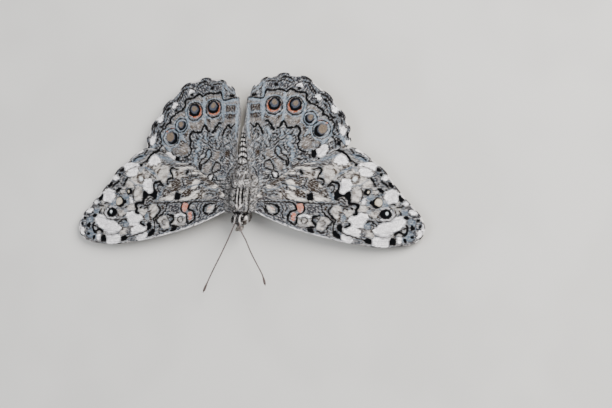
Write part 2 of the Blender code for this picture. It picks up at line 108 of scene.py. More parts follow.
class Wire:
    def __init__(self, tree, socket=None):
        self.tree = tree
        self.socket = socket

    def node(self, kind, settings={}, values={}, out=0):
        # settings come first, then the values or links of the sockets
        made = self.tree.nodes.new(kind)
        for name, value in settings.items():
            setattr(made, name, value)
        for key, value in values.items():
            if isinstance(value, Wire):
                self.tree.links.new(value.socket, made.inputs[key])
            else:
                made.inputs[key].default_value = value
        return Wire(self.tree, made.outputs[out])

    def math(self, operation, a, b=0.0):
        return self.node("ShaderNodeMath", {"operation": operation}, {0: a, 1: b})

    def __add__(self, other):
        return self.math("ADD", self, other)

    def __sub__(self, other):
        return self.math("SUBTRACT", self, other)

    def __rsub__(self, other):
        return self.math("SUBTRACT", other, self)

    def __mul__(self, other):
        return self.math("MULTIPLY", self, other)

    __radd__ = __add__
    __rmul__ = __mul__

    def step(self, low, high):
        # 0 below low and 1 above high, with a soft change between them
        settings = {"interpolation_type": "SMOOTHSTEP", "clamp": True}
        return self.node("ShaderNodeMapRange", settings, {0: self, 1: low, 2: high, 3: 0.0, 4: 1.0})

    def band(self, low, high, soft):
        # 1 between low and high
        return self.step(low - soft, low + soft) * (1 - self.step(high - soft, high + soft))


def mix(a, b, share):
    # a times one less the share, plus b times the share; a and b are colours or wires
    start = share if isinstance(share, Wire) else a
    return start.node("ShaderNodeMix", {"data_type": "RGBA"}, {0: share, 6: a, 7: b}, out=2)


def tint(red, green, blue):
    # screen colour, 0 to 255, to the linear value that the shader wants
    c = np.array([red, green, blue]) / 255.0
    linear = np.where(c <= 0.04045, c / 12.92, ((c + 0.055) / 1.055) ** 2.4)
    return (*[float(v) for v in linear], 1.0)


def newLook(name, roughness, settings={}):
    # a Principled material and the wire that starts its tree
    look = bpy.data.materials.new(name)
    look.use_nodes = True
    shader = look.node_tree.nodes["Principled BSDF"]
    shader.inputs["Roughness"].default_value = roughness
    for key, value in settings.items():
        shader.inputs[key].default_value = value
    return look, Wire(look.node_tree), shader


def feed(shader, key, wire):
    # links the wire to a socket of the shader
    wire.tree.links.new(wire.socket, shader.inputs[key])


def place(start):
    # where a point lies on its piece, in metres
    return start.node("ShaderNodeTexCoord", out="Object")


def noise(start, size, detail=2.0, roughness=0.55, at=None):
    # size is the width of its blotches in mm
    values = {"Vector": at or place(start), "Scale": 1 / (size * mm), "Detail": detail, "Roughness": roughness}
    return start.node("ShaderNodeTexNoise", {}, values)


def bump(start, height, strength, depth):
    # a relief of the given depth in mm
    return start.node("ShaderNodeBump", {}, {"Strength": strength, "Distance": depth * mm, "Height": height})


def channels(start, name):
    # the three values that the points of a piece carry under the name
    vector = start.node("ShaderNodeAttribute", {"attribute_name": name}, out="Vector")
    return [start.node("ShaderNodeSeparateXYZ", {}, {0: vector}, out=i) for i in range(3)]


def scaled(colour, factor):
    # the colour times a number
    return colour.node("ShaderNodeVectorMath", {"operation": "SCALE"}, {0: colour, "Scale": factor})


# Meshes from arrays

def addPiece(name, points, faces, look, nodes=(), uv=None, fields={}):
    # points in mm in the measured frame; faces are arrays of three or four indices a row
    world = (np.asarray(points, float).reshape(-1, 3) + [0.0, shiftY, 0.0]) * mm
    faces = faces if isinstance(faces, list) else [faces]
    mesh = bpy.data.meshes.new(name)
    corners = np.concatenate([f.ravel() for f in faces]).astype(np.int32)
    totals = np.concatenate([np.full(len(f), f.shape[1]) for f in faces]).astype(np.int32)
    mesh.vertices.add(len(world))
    mesh.vertices.foreach_set("co", world.ravel())
    mesh.loops.add(len(corners))
    mesh.loops.foreach_set("vertex_index", corners)
    mesh.polygons.add(len(totals))
    mesh.polygons.foreach_set("loop_start", np.concatenate([[0], np.cumsum(totals)[:-1]]).astype(np.int32))
    mesh.polygons.foreach_set("use_smooth", np.ones(len(totals), bool))
    mesh.update(calc_edges=True)
    for key, values in fields.items():
        made = mesh.attributes.new(key, "FLOAT_VECTOR", "POINT")
        made.data.foreach_set("vector", np.asarray(values, np.float32).ravel())
    if uv is not None:
        layer = mesh.uv_layers.new(name="OFBake")
        layer.data.foreach_set("uv", np.asarray(uv, np.float32)[corners].ravel())
    mesh.materials.append(look)
    piece = bpy.data.objects.new(name, mesh)
    bpy.context.scene.collection.objects.link(piece)
    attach(piece, "root")
    if nodes:
        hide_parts(*nodes)
    print(f"{name}: {int((totals - 2).sum())} triangles")
    return piece


def tube(centre, radius, count):
    # rings of so many points carried along a path, closed by a point at each end
    way = unit(np.gradient(centre, axis=0))
    across = unit(np.cross(way, [0.0, 0.0, 1.0]))
    over = np.cross(across, way)
    angle = np.linspace(0, 2 * np.pi, count, endpoint=False)[None, :, None]
    spread = np.cos(angle) * across[:, None] + np.sin(angle) * over[:, None]
    return closeRings(centre[:, None] + radius[:, None, None] * spread)


def closeRings(rings):
    # joins rings of points into a closed surface whose faces look out, with a point in the middle of each end
    count, sides = rings.shape[:2]
    at = np.arange(count * sides).reshape(count, sides)
    beyond = np.roll(at, -1, axis=1)
    quads = np.stack([at[:-1], at[1:], beyond[1:], beyond[:-1]], axis=-1).reshape(-1, 4)
    first, last = count * sides, count * sides + 1
    head = np.stack([np.full(sides, first), at[0], beyond[0]], axis=-1)
    tail = np.stack([np.full(sides, last), beyond[-1], at[-1]], axis=-1)
    points = np.concatenate([rings.reshape(-1, 3), [rings[0].mean(axis=0), rings[-1].mean(axis=0)]])
    return points, [quads, np.concatenate([head, tail])]


def facingOut(points, faces):
    # turns the faces round if the closed surface holds a negative volume
    tris = np.concatenate([f[:, [0, i, i + 1]] for f in faces for i in range(1, f.shape[1] - 1)])
    a, b, c = (points[tris[:, i]] for i in range(3))
    if np.einsum("ij,ij->i", a, np.cross(b, c)).sum() < 0:
        faces = [f[:, ::-1] for f in faces]
    return faces


# The wings' shapes, the same curves as the solids have

wingPlane = {"z": 5.5, "droop": 6.0, "fromX": 2.5, "hindBelow": 0.78}
forewing = {
    "costa": [(3.2, 0.3), (7.3, -1.5), (12.0, -3.2), (18.6, -4.9), (25.0, -6.15), (31.0, -6.85), (36.8, -6.45)],
    "inner": [(3.2, 2.9), (5.6, 5.6), (8.6, 7.7), (12.7, 10.2), (17.4, 11.8), (19.8, 13.3), (22.0, 14.1)],
    "outer": [
        (36.8, -6.45), (39.5, -5.25), (40.75, -3.2), (40.3, -1.1), (38.6, 1.2), (36.5, 3.3), (34.0, 6.2),
        (31.6, 9.3), (28.2, 12.0), (24.8, 14.1), (22.0, 14.1),
    ],
    # root, branch and margin shares of the width, and the share of the length where the vein branches off
    "veins": {
        "Sc": (0.05, 0.02, 0.012, 0.7, True),
        "R3": (0.10, 0.03, 0.05, 0.62, True),
        "R4": (0.16, 0.06, 0.12, 0.60, False),
        "R5": (0.21, 0.10, 0.20, 0.56, False),
        "M1": (0.30, 0.17, 0.285, 0.50, False),
        "M2": (0.40, 0.305, 0.395, 0.54, False),
        "M3": (0.49, 0.42, 0.50, 0.56, False),
        "CuA1": (0.525, 0.45, 0.665, 0.54, False),
        "CuA2": (0.56, 0.485, 0.815, 0.40, True),
        "A2": (0.80, 0.875, 0.925, 0.30, True),
    },
    "cell": (0.17, 0.42, 0.55),
    "scallop": 0.12,
    "rows": 300,
    "columns": 162,
}
hindwing = {
    "costa": [(3.2, 3.2), (6.4, 3.8), (10.5, 5.3), (15.0, 7.6), (19.5, 10.4), (22.8, 12.8), (24.2, 14.8)],
    "inner": [
        (3.2, 5.1), (3.35, 6.3), (3.0, 7.4), (2.4, 8.5), (1.85, 9.8), (1.55, 11.5), (1.4, 13.3), (1.15, 15.5),
        (0.9, 17.2), (0.6, 18.9), (0.5, 20.8), (0.84, 24.8),
    ],
    "outer": [
        (24.2, 14.8), (23.9, 17.8), (22.4, 20.9), (20.4, 23.6), (17.8, 26.2), (14.6, 28.7), (10.0, 29.9),
        (5.2, 29.2), (2.3, 27.2), (0.84, 24.8),
    ],
    "veins": {
        "Rs": (0.22, 0.165, 0.08, 0.45, True),
        "M1": (0.33, 0.285, 0.175, 0.43, False),
        "M2": (0.41, 0.39, 0.34, 0.42, False),
        "M3": (0.48, 0.455, 0.535, 0.45, False),
        "CuA1": (0.54, 0.57, 0.69, 0.35, False),
        "CuA2": (0.63, 0.69, 0.83, 0.15, True),
        "A2": (0.82, 0.84, 0.915, 0.40, True),
    },
    "cell": (0.285, 0.57, 0.44),
    "scallop": 0.42,
    "rows": 236,
    "columns": 206,
}
wingTurn = {
    "degrees": 2.4, "pivot": (0.0, 0.5), "reach": 4.0,
    # how far the fold on one side lies nearer to the abdomen, by its place along Y
    "drawIn": [(6.0, 0.0), (9.0, 0.75), (12.0, 0.75), (14.0, 0.5), (17.0, 0.45), (21.0, 0.0)],
}
veinBend = 0.65
scallopPower = 12


def forewingHeight(x, y):
    # level at the root, then down by the droop's slope
    return wingPlane["z"] - math.tan(math.radians(wingPlane["droop"])) * np.clip(x - wingPlane["fromX"], 0, None)


def hindwingHeight(x, y):
    # under the forewing, with its inner edge lifted over the abdomen and let down behind the tail
    fold = ease((3.2 - x) / 2.1)
    lift = 0.65 - 0.85 * ease((y - 17.0) / 5.0)
    return forewingHeight(x, y) - wingPlane["hindBelow"] + lift * fold


def forewingPose(points, side):
    # the forewings lie as drawn
    return points


def hindwingPose(points, side):
    # the hindwing takes up its turn over a few mm from its root
    root = np.mean([hindwing["costa"][0], hindwing["inner"][0]], axis=0) * [side, 1.0]
    share = ease(np.linalg.norm(points[..., :2] - root, axis=-1) / wingTurn["reach"])[..., None]
    posed = points + share * (turned(points, wingTurn["degrees"], wingTurn["pivot"]) - points)
    if side < 0:
        y, drawIn = zip(*wingTurn["drawIn"])
        posed[..., 0] += np.interp(points[..., 1], y, drawIn) * ease((4.4 + points[..., 0]) / 2.8)
    return posed


def veinCourse(vein, rows):
    # the vein's share of the width at each row: from root to branch, then over to the margin
    root, branch, margin, leaves, _ = vein
    before = np.clip(1 - rows / leaves, 0, 1) ** 2
    after = np.clip((rows - leaves) / (1 - leaves), 0, 1) ** veinBend
    return branch + (root - branch) * before + (margin - branch) * after


def betweenVeins(wing, v):
    # 0 at the ends of the veins and 1 halfway between them, by a squared sine
    ends = np.array([0.0] + sorted(vein[2] for vein in wing["veins"].values()) + [1.0])
    i = np.clip(np.searchsorted(ends, v, side="right") - 1, 0, len(ends) - 2)
    return np.sin(np.pi * (v - ends[i]) / (ends[i + 1] - ends[i])) ** 2


def wingPlan(wing, u, v):
    # the patch that blends the root, costa, inner edge and margin, drawn in between the ends of the veins
    costa, inner = smoothLine(wing["costa"])(u), smoothLine(wing["inner"])(u)
    corner, tip = np.array(wing["costa"][0]), np.array(wing["costa"][-1])
    root = corner + v[..., None] * (np.array(wing["inner"][0]) - corner)
    line = tip + v[..., None] * (np.array(wing["inner"][-1]) - tip)
    sides = costa + v[..., None] * (inner - costa)
    plan = sides + u[..., None] * (smoothLine(wing["outer"])(v) - line)
    pull = wing["scallop"] * betweenVeins(wing, v) * u**scallopPower
    outwards = plan - root
    length = np.maximum(np.linalg.norm(outwards, axis=-1, keepdims=True), 3.2)
    return plan - outwards / length * pull[..., None]


def veinDistance(wing, u, v, chord):
    # distance across the wing to the nearest vein, in mm; a branch counts from where it leaves
    farthest, wingLength = 3.0, 38.0
    nearest = np.full(u.shape, farthest)
    for vein in wing["veins"].values():
        across = np.abs(v - veinCourse(vein, u)) * chord
        across = across + (0.0 if vein[4] else 1.5 * np.clip((vein[3] - u) * 60, 0, 2))
        nearest = np.minimum(nearest, across)
    first, last, end = wing["cell"]
    closing = np.abs(u - end) * wingLength + farthest * ((v < first) | (v > last))
    return np.minimum(nearest, closing)


# Markings, drawn as strokes, closed patches and rings on the wing seen from above. A stroke is its half width
# in mm and then the x and y of its points in tenths of a mm, and a patch is such points alone. A ring is x, y, radius
# and half width in mm, and a half width of 0 makes a filled disc.

markReach = 1.2


def drawnPath(row, spacing, fewest):
    # a smooth line through the row's points, with a point every so many mm
    line = np.reshape(row, (-1, 2)) / 10
    length = np.linalg.norm(np.diff(line, axis=0), axis=1).sum()
    return smoothLine(line)(np.linspace(0, 1, max(fewest, int(length / spacing))))


def pathGap(at, path, margin):
    # which points lie near a path, and how far each of them is from each straight piece of it
    low, high = path.min(axis=0) - margin, path.max(axis=0) + margin
    near = np.flatnonzero(((at > low) & (at < high)).all(axis=1))
    start, along = path[:-1], np.diff(path, axis=0)
    away = at[near][:, None] - start
    f = np.clip((away * along).sum(axis=-1) / np.maximum((along * along).sum(axis=-1), 1e-9), 0, 1)
    return near, np.linalg.norm(away - f[..., None] * along, axis=-1)


def strokeField(at, strokes):
    # least distance to a stroke less its half width, which tapers to its ends
    field = np.full(len(at), markReach)
    for width, row in strokes:
        path = drawnPath(row, 0.2, 8)
        near, gap = pathGap(at, path, markReach + width)
        t = np.linspace(0, 1, len(path))
        half = 1.25 * width * (0.55 + 0.45 * np.sin(np.pi * (t[:-1] + t[1:]) / 2) ** 0.5)
        field[near] = np.minimum(field[near], (gap - half).min(axis=1))
    return field


def patchField(at, patches):
    # distance to closed outlines, negative inside, where a line to the right crosses an odd number of their pieces
    field = np.full(len(at), markReach)
    for row in patches:
        path = drawnPath(row + row[:2], 0.25, 12)
        near, gaps = pathGap(at, path, markReach)
        gap = gaps.min(axis=1)
        x, y = at[near][:, 0:1], at[near][:, 1:2]
        start, along = path[:-1], np.diff(path, axis=0)
        rises = (path[:-1, 1] > y) != (path[1:, 1] > y)
        with np.errstate(divide="ignore", invalid="ignore"):
            crossX = start[:, 0] + (y - start[:, 1]) * along[:, 0] / along[:, 1]
        inside = (rises & (x < crossX)).sum(axis=1) % 2 == 1
        field[near] = np.minimum(field[near], np.where(inside, -gap, gap))
    return field


def ringField(at, rings):
    # distance to the ring's middle line less its half width, or to the disc's edge
    field = np.full(len(at), markReach)
    for x, y, radius, half in rings:
        away = np.hypot(at[:, 0] - x, at[:, 1] - y) - radius
        field = np.minimum(field, np.abs(away) - half if half else away)
    return field


def markField(at, marks):
    # least distance to any mark of a layer
    strokes = strokeField(at, marks.get("strokes", []))
    patches = patchField(at, marks.get("patches", []))
    return np.minimum(np.minimum(strokes, patches), ringField(at, marks.get("rings", [])))


forewingMarks = {
    "dusk": {
        "patches": [
            [252, -51, 267, -52, 274, -55, 269, -61, 254, -60], [293, 89, 304, 91, 310, 80, 304, 69, 296, 72],
            [267, -28, 278, -30, 283, -42, 277, -51, 268, -48], [147, 20, 180, 20, 181, 7, 165, 1, 148, 4],
            [42, 32, 66, 36, 90, 34, 92, 27, 60, 26], [138, 70, 168, 70, 170, 56, 142, 52],
            [80, 16, 108, 19, 109, -2, 94, -13, 87, -3], [28, 20, 50, 22, 50, 2, 32, 6],
            [367, -58, 392, -52, 404, -32, 400, -10, 384, 12, 362, 32, 356, 20, 368, 4, 372, -12, 369, -26, 370, -40],
            [356, 36, 346, 58, 320, 90, 296, 108, 293, 94, 290, 80, 298, 60, 310, 46, 316, 54, 332, 60, 346, 50,
                354, 30], [226, 139, 250, 136, 280, 118, 270, 114, 254, 114, 238, 126],
        ],
        "strokes": [(0.36, [42, 2.5, 74, -8, 100, -17, 130, -26, 160, -35, 190, -43])],
    },
    "brown": {
        "patches": [
            [83, 75, 98, 74, 100, 67, 88, 66], [120, 72, 134, 73, 136, 63, 123, 60],
            [148, 60, 162, 61, 161, 50, 150, 51], [90, 55, 105, 56, 104, 50, 91, 50],
            [70, 65, 80, 64, 79, 58, 71, 58], [93, 45, 103, 44, 102, 32, 95, 32],
            [124, 50, 139, 49, 140, 39, 126, 38], [186, 16, 192, 17, 196, 6, 200, -5, 194, -3, 188, 5],
            [221, 6, 226, 5, 227, -6, 222, -5], [235, -34, 241, -34, 240, -36, 236, -36],
            [215, 91, 220, 91, 220, 86, 216, 86], [226, 82, 231, 81, 230, 75, 226, 77],
            [221, 103, 238, 102, 239, 99, 224, 98], [157, 89, 163, 89, 163, 80, 158, 80],
            [174, 73, 180, 74, 181, 69, 175, 69], [291, -31, 298, -31, 297, -37, 292, -37],
            [150, 70, 170, 70, 169, 50, 156, 49], [327, 45, 331, 45, 332, 37, 328, 37],
            [218, -10, 223, -9, 221, -22, 216, -20], [236, 59, 242, 59, 242, 54, 237, 54],
            [279, -20, 285, -19, 284, -23, 280, -23],
        ],
        "strokes": [(0.12, [50, 25, 60, 24.5, 76, 25]), (0.1, [203, 96, 209, 91, 209, 84])],
        "rings": [(23.9, -1.1, 0.42, 0.12), (25.2, 7.6, 0.85, 0.24), (30.9, -0.4, 0.5, 0)],
    },
    "pink": {
        "patches": [
            [180, 98, 190, 102, 204, 100, 216, 92, 215, 80, 204, 70, 192, 66, 186, 72, 179, 80],
            [203, 104, 202, 116, 212, 127, 224, 130, 234, 116, 241, 103, 226, 98, 214, 97],
            [218, 74, 226, 81, 239, 90, 249, 98, 256, 109, 270, 113, 288, 108, 295, 96, 289, 86, 286, 79, 272, 70,
                255, 62, 243, 59, 226, 64], [263, 18, 276, 19, 284, 10, 296, 4, 300, -6, 284, 0, 265, 2],
            [315, 42, 324, 53, 342, 54, 354, 42, 352, 30, 346, 22, 330, 21, 318, 26],
            [279, -34, 296, -36, 300, -46, 284, -46], [332, 19, 346, 19, 356, 9, 346, 3],
            [60, 61, 80, 62, 82, 53, 64, 52], [110, 64, 121, 63, 120, 54, 111, 55],
            [138, 49, 150, 50, 152, 44, 140, 43], [86, 42, 96, 43, 96, 36, 86, 35],
            [173, 93, 172, 80, 164, 74, 165, 88], [96, 92, 104, 92, 104, 85, 97, 85],
            [163, 48, 172, 54, 183, 52, 184, 36, 176, 28, 164, 32],
            [202, 6, 209, 17, 218, 19, 224, 12, 222, -4, 214, -10, 207, -2],
            [245, 47, 252, 56, 263, 56, 268, 50, 269, 40, 266, 31, 258, 26, 250, 24, 246, 34],
            [270, 66, 280, 74, 289, 68, 292, 62, 282, 57, 272, 58],
            [137, 96, 158, 94, 169, 92, 169, 78, 152, 72, 138, 80],
            [133, -4, 148, -3, 161, -6, 163, -18, 162, -26, 146, -28, 132, -25, 132, -14],
            [176, -14, 186, -6, 196, -11, 202, -17, 194, -26, 186, -35, 174, -32, 175, -24],
            [230, 8, 253, 7, 252, 0, 233, -1], [108, 45, 120, 45, 121, 32, 110, 30], [60, 56, 74, 55, 74, 49, 61, 49],
            [34, 44, 57, 46, 58, 37, 36, 34], [63, 15, 74, 15, 80, 9, 80, 2, 72, 1, 64, 7],
            [293, -2, 299, 3, 305, 6, 304, -4, 297, -7], [102, 69, 116, 73, 117, 63, 106, 60],
            [114, 90, 128, 90, 126, 82, 115, 81], [334, -39, 341, -38, 342, -45, 335, -48],
            [268, 18, 276, 16, 276, 6, 268, 7],
        ],
    },
    "white": {
        "patches": [
            [206, 110, 210, 122, 220, 128, 230, 122, 233, 110, 222, 105],
            [219, 64, 223, 71, 238, 73, 244, 64, 240, 50, 230, 43, 222, 45, 220, 54],
            [244, -8, 254, -2, 270, 2, 279, 1, 283, -7, 277, -19, 271, -25, 256, -26, 248, -22, 244, -15],
            [229, -30, 238, -29, 253, -27, 262.5, -29.5, 267, -37.5, 265, -46, 252, -44.5, 236, -40.5, 230, -35],
            [227, -43, 236, -44, 251, -49, 250, -59, 232, -56],
            [317, 44, 324, 50, 336, 52, 347, 46, 346, 32, 338, 24, 328, 24, 320, 32],
            [297, -33, 304, -25, 311, -19, 326, -16, 336, -10, 347, -5, 357, -2.5, 361, -8, 365, -16, 362, -22,
                353, -29, 343, -33, 337, -38.5, 330, -44, 315, -45.5, 303, -41],
            [296, -53, 303, -49.5, 334, -49, 332, -60, 330, -66, 305, -65, 295, -60],
            [258, 104, 269, 104, 284, 99, 294, 95, 295, 106, 284, 110, 272, 110],
            [260, 98, 286, 92, 288, 83, 270, 82, 262, 88], [310, 82, 318, 84, 323, 76, 316, 72, 310, 76],
            [357, 24, 363, 28, 370, 31, 370, 25, 362, 21], [348, -47, 358, -46, 360, -54, 353, -59, 348, -55],
            [392, -33, 400, -32, 401, -42, 394, -47], [403, -12, 406, -18, 407, -36, 404, -34],
            [373, 9, 386, 9, 390, 4, 378, 2], [270, 31, 276, 34, 278, 26, 270, 22],
        ],
        "strokes": [
            (0.16, [132, -6, 146, -4.5, 159, -8]), (0.14, [252, 138, 276, 124, 305, 106]),
            (0.06, [38, 0.5, 73, -14.2, 120, -31, 186, -48.2, 250, -60.5]),
            (0.12, [334, 9, 339, 2, 334, -8, 323, -11, 312, -10]), (0.1, [312, 13, 326, 15]),
        ],
    },
    "blue": {
        "patches": [
            [275, -19, 288, -19, 289, -29, 277, -29], [278, 40, 294, 40, 295, 33, 280, 32],
            [313, 32, 326, 28, 324, 16, 315, 17], [280, 10, 290, 9, 290, 1, 281, 2],
            [248, 100, 256, 99, 256, 90, 250, 90], [226, -2, 235, -3, 234, -14, 227, -15],
            [202, 40, 208, 39, 208, 30, 203, 30], [355, 12, 368, 10, 368, 2, 356, 2],
            [364, -34, 380, -36, 381, -52, 366, -52], [370, -8, 385, -10, 385, -20, 372, -19],
            [358, -46, 364, -46, 364, -56, 360, -58], [283, 30, 291, 31, 284, 19, 278, 20],
        ],
        "strokes": [
            (0.2, [205, 75, 220, 87, 235, 96, 246, 102]), (0.13, [240, 59, 260, 62, 280, 73]),
            (0.25, [176, 115, 195, 120, 215, 126]), (0.35, [248, 126, 262, 118, 275, 113]),
            (0.14, [195, 54, 199, 43, 204, 32]), (0.12, [100, 61, 125, 57, 146, 47]),
            (0.14, [55, 47, 80, 53, 96, 59]), (0.12, [153, 110, 164, 110, 174, 109]),
            (0.14, [176, 90, 182, 80, 180, 77]),
        ],
    },
    "rust": {
        "patches": [
            [129.5, 21, 140, 20, 141, 6, 133, 3, 129.5, 9, 126, 16],
            [118, 1, 125, 1, 124, -10, 122, -18, 118, -15, 117.5, -6],
        ],
        "strokes": [(0.1, [70, 12, 76, 8])],
    },
    "black": {
        "patches": [
            [208, 46, 214, 50, 222, 43, 232, 43, 237, 48, 243, 47, 244, 39, 245, 26, 247, 21, 240, 20, 238, 28,
                234, 34, 226, 37, 219, 34, 213, 29, 208, 33], [148, 42, 161, 42, 162, 29, 150, 29],
            [131, 93, 137, 90, 137, 83, 132, 85], [219, -22, 225, -21, 229, -30, 228, -39, 222, -35, 217, -29],
            [152, -31, 165, -32, 169, -39, 154, -38],
            [208, -37, 212, -35, 222, -41, 227, -52.5, 219, -51, 209, -44.5],
            [275, -53, 283, -49.5, 293, -50, 293, -61, 283, -61], [334, -49, 344, -48, 346, -61, 333, -62],
            [362, -48, 368, -49, 368, -57, 362, -55], [301, 58, 309, 55, 316, 49, 314, 45, 306, 49, 301, 53],
            [296, 98, 305, 99, 307, 92, 299, 93], [306, 89, 312, 85, 310, 80, 305, 83],
            [324, 69, 332, 68, 336, 60, 328, 58], [347, 42, 355, 40, 360, 32, 355, 28, 348, 33],
            [360, -2, 368, -1, 372, -6, 365, -9, 361, -7], [376, -20, 383, -22, 385, -29, 378, -30],
            [308, 2, 312, -5, 321, -8, 331, -5, 335, 2, 331, 9, 322, 12, 313, 10],
        ],
        "strokes": [
            (0.09, [52, 23.5, 80, 24, 110, 23.5, 145, 23, 180, 21.5, 215, 21]),
            (0.2, [76, 17.5, 85, 15, 88, 8, 87, 2, 83, -2.5, 77, -4]), (0.09, [56, 19, 63, 20.5, 70, 18.5, 76, 17.5]),
            (0.13, [55, 20, 59, 13, 62, 5, 66, -1, 72, -3.5]), (0.1, [44, 13, 53, 12, 59, 5, 60, 0]),
            (0.17, [119, 23.5, 121, 19, 126, 13, 127.5, 8.5, 121, 5, 113, 2, 109.5, -4, 109, -10.5, 112, -16, 117,
                -20, 123, -25]),
            (0.17, [136, 23.5, 142.5, 22.5, 143, 16.5, 144.5, 10, 143, 3.5, 139, 0, 133, -1.5, 129, -6, 128.5,
                -12, 128.5, -19, 126, -24.5]),
            (0.17, [178, -4, 170, -6, 163, -8.5, 163, -14, 166, -20, 171, -23.5, 168, -28, 158, -29, 150, -29.5]),
            (0.08, [178, -4, 180, -9, 176, -13, 172, -9, 170, -6]),
            (0.13, [181, 21, 182, 12.5, 184, 5.5, 189, 0, 195, -6, 203, -11, 207, -15, 204, -22, 198, -26.5, 195,
                -31, 197, -38]),
            (0.13, [205, 20, 203, 14, 198.5, 8.6, 198, 3, 204, -4, 210, -9.5, 212.5, -14, 210, -22, 209, -30, 210,
                -36]),
            (0.16, [158, 95, 165, 96, 173, 97, 178, 94, 175, 87, 172, 81, 170, 76, 176, 75, 183, 72, 184, 66, 181,
                61]), (0.2, [194, 61, 202, 67, 210, 67, 217, 64, 218, 58, 214, 50, 212, 44]),
            (0.1, [193, 58, 198, 61, 206, 60, 208, 56, 206, 50, 201, 45]),
            (0.08, [214, 26, 219, 32, 226, 33, 232, 28, 234, 21]), (0.07, [219, 24, 224, 28, 229, 23]),
            (0.13, [224, 19, 230, 16, 236, 16, 241, 19]), (0.12, [229, 9, 233, 12, 238, 10]),
            (0.25, [247, 22, 255, 22, 261, 18, 260, 13, 257, 9.5, 259, 5, 259, 1, 252, -1]),
            (0.17, [243, -18, 246, -21, 241, -25, 234, -28]), (0.1, [172, -37, 182, -39, 192, -40]),
            (0.1, [230, -39.5, 245, -45, 260, -49.5, 275, -52]), (0.06, [303, -42, 315, -47, 332, -46.5]),
            (0.22, [195, 132, 205, 136.5, 214, 135, 225, 130.5, 232, 125, 238, 116, 241, 112.5]),
            (0.12, [241, 112.5, 246, 112, 250, 108, 253, 105]), (0.12, [250, 125, 259, 123, 268, 120, 273, 115]),
            (0.1, [237, 138, 244, 133, 247, 128]), (0.15, [279, 77.5, 286, 79, 289, 73, 293, 66, 297, 60]),
            (0.13, [302, 64, 308, 70, 314, 68, 320, 63, 325, 57]),
            (0.13, [280, -18, 286, -13, 294, -14.5, 300, -19.5, 303, -24]),
            (0.08, [340, 13, 342, 0, 335, -10, 320, -14, 305, -14, 298, -8]), (0.12, [332, 22, 338, 24, 342, 20]),
            (0.15, [345, 15, 353, 17, 358, 19]), (0.12, [350, 10, 353, 6, 355, 1]),
            (0.22, [343, -42, 348, -37, 354, -36, 359, -39]),
            (0.2, [366, -20, 369, -27, 369, -34, 365, -41, 359, -43]),
            (0.09, [166, 119, 176, 122, 186, 127, 194, 131]), (0.1, [266, 54, 270, 44, 267, 32]),
            (0.08, [127, 92, 122, 82, 126, 74]), (0.08, [92, 64, 102, 60, 103, 52]), (0.07, [54, 49, 64, 46, 74, 47]),
            (0.07, [64, 39, 76, 41, 86, 38]), (0.09, [146, 70, 142, 62, 145, 53]),
            (0.07, [105, 83, 113, 78, 119, 79]), (0.07, [92, 19, 98, 9, 96, -2, 100, -11]),
            (0.06, [102, 19, 105, 10, 103, 2]), (0.08, [146, -7, 152, -12, 150, -20, 142, -21, 139, -14, 146, -7]),
            (0.06, [181, -15, 189, -16, 190, -24, 183, -26]),
        ],
        "rings": [
            (24.8, 1.2, 0.28, 0), (25.3, 10.5, 0.35, 0), (39.2, -1.1, 0.35, 0), (39.7, -2.3, 0.3, 0),
            (38, -4.5, 0.35, 0), (36.3, -3.3, 0.6, 0.1), (27.95, 4.7, 0.72, 0), (30.2, 2.45, 1.15, 0),
            (28.9, 2.5, 0.5, 0),
        ],
    },
    "tan": {
        "rings": [(28.15, 4.75, 0.26, 0), (30.5, 2.6, 0.78, 0)],
    },
    "pupil": {
        "patches": [[321, 2, 323, -2.5, 326, -1, 327.5, 3, 325, 7, 322, 6]],
        "rings": [(25.1, 7.45, 0.46, 0)],
    },
}
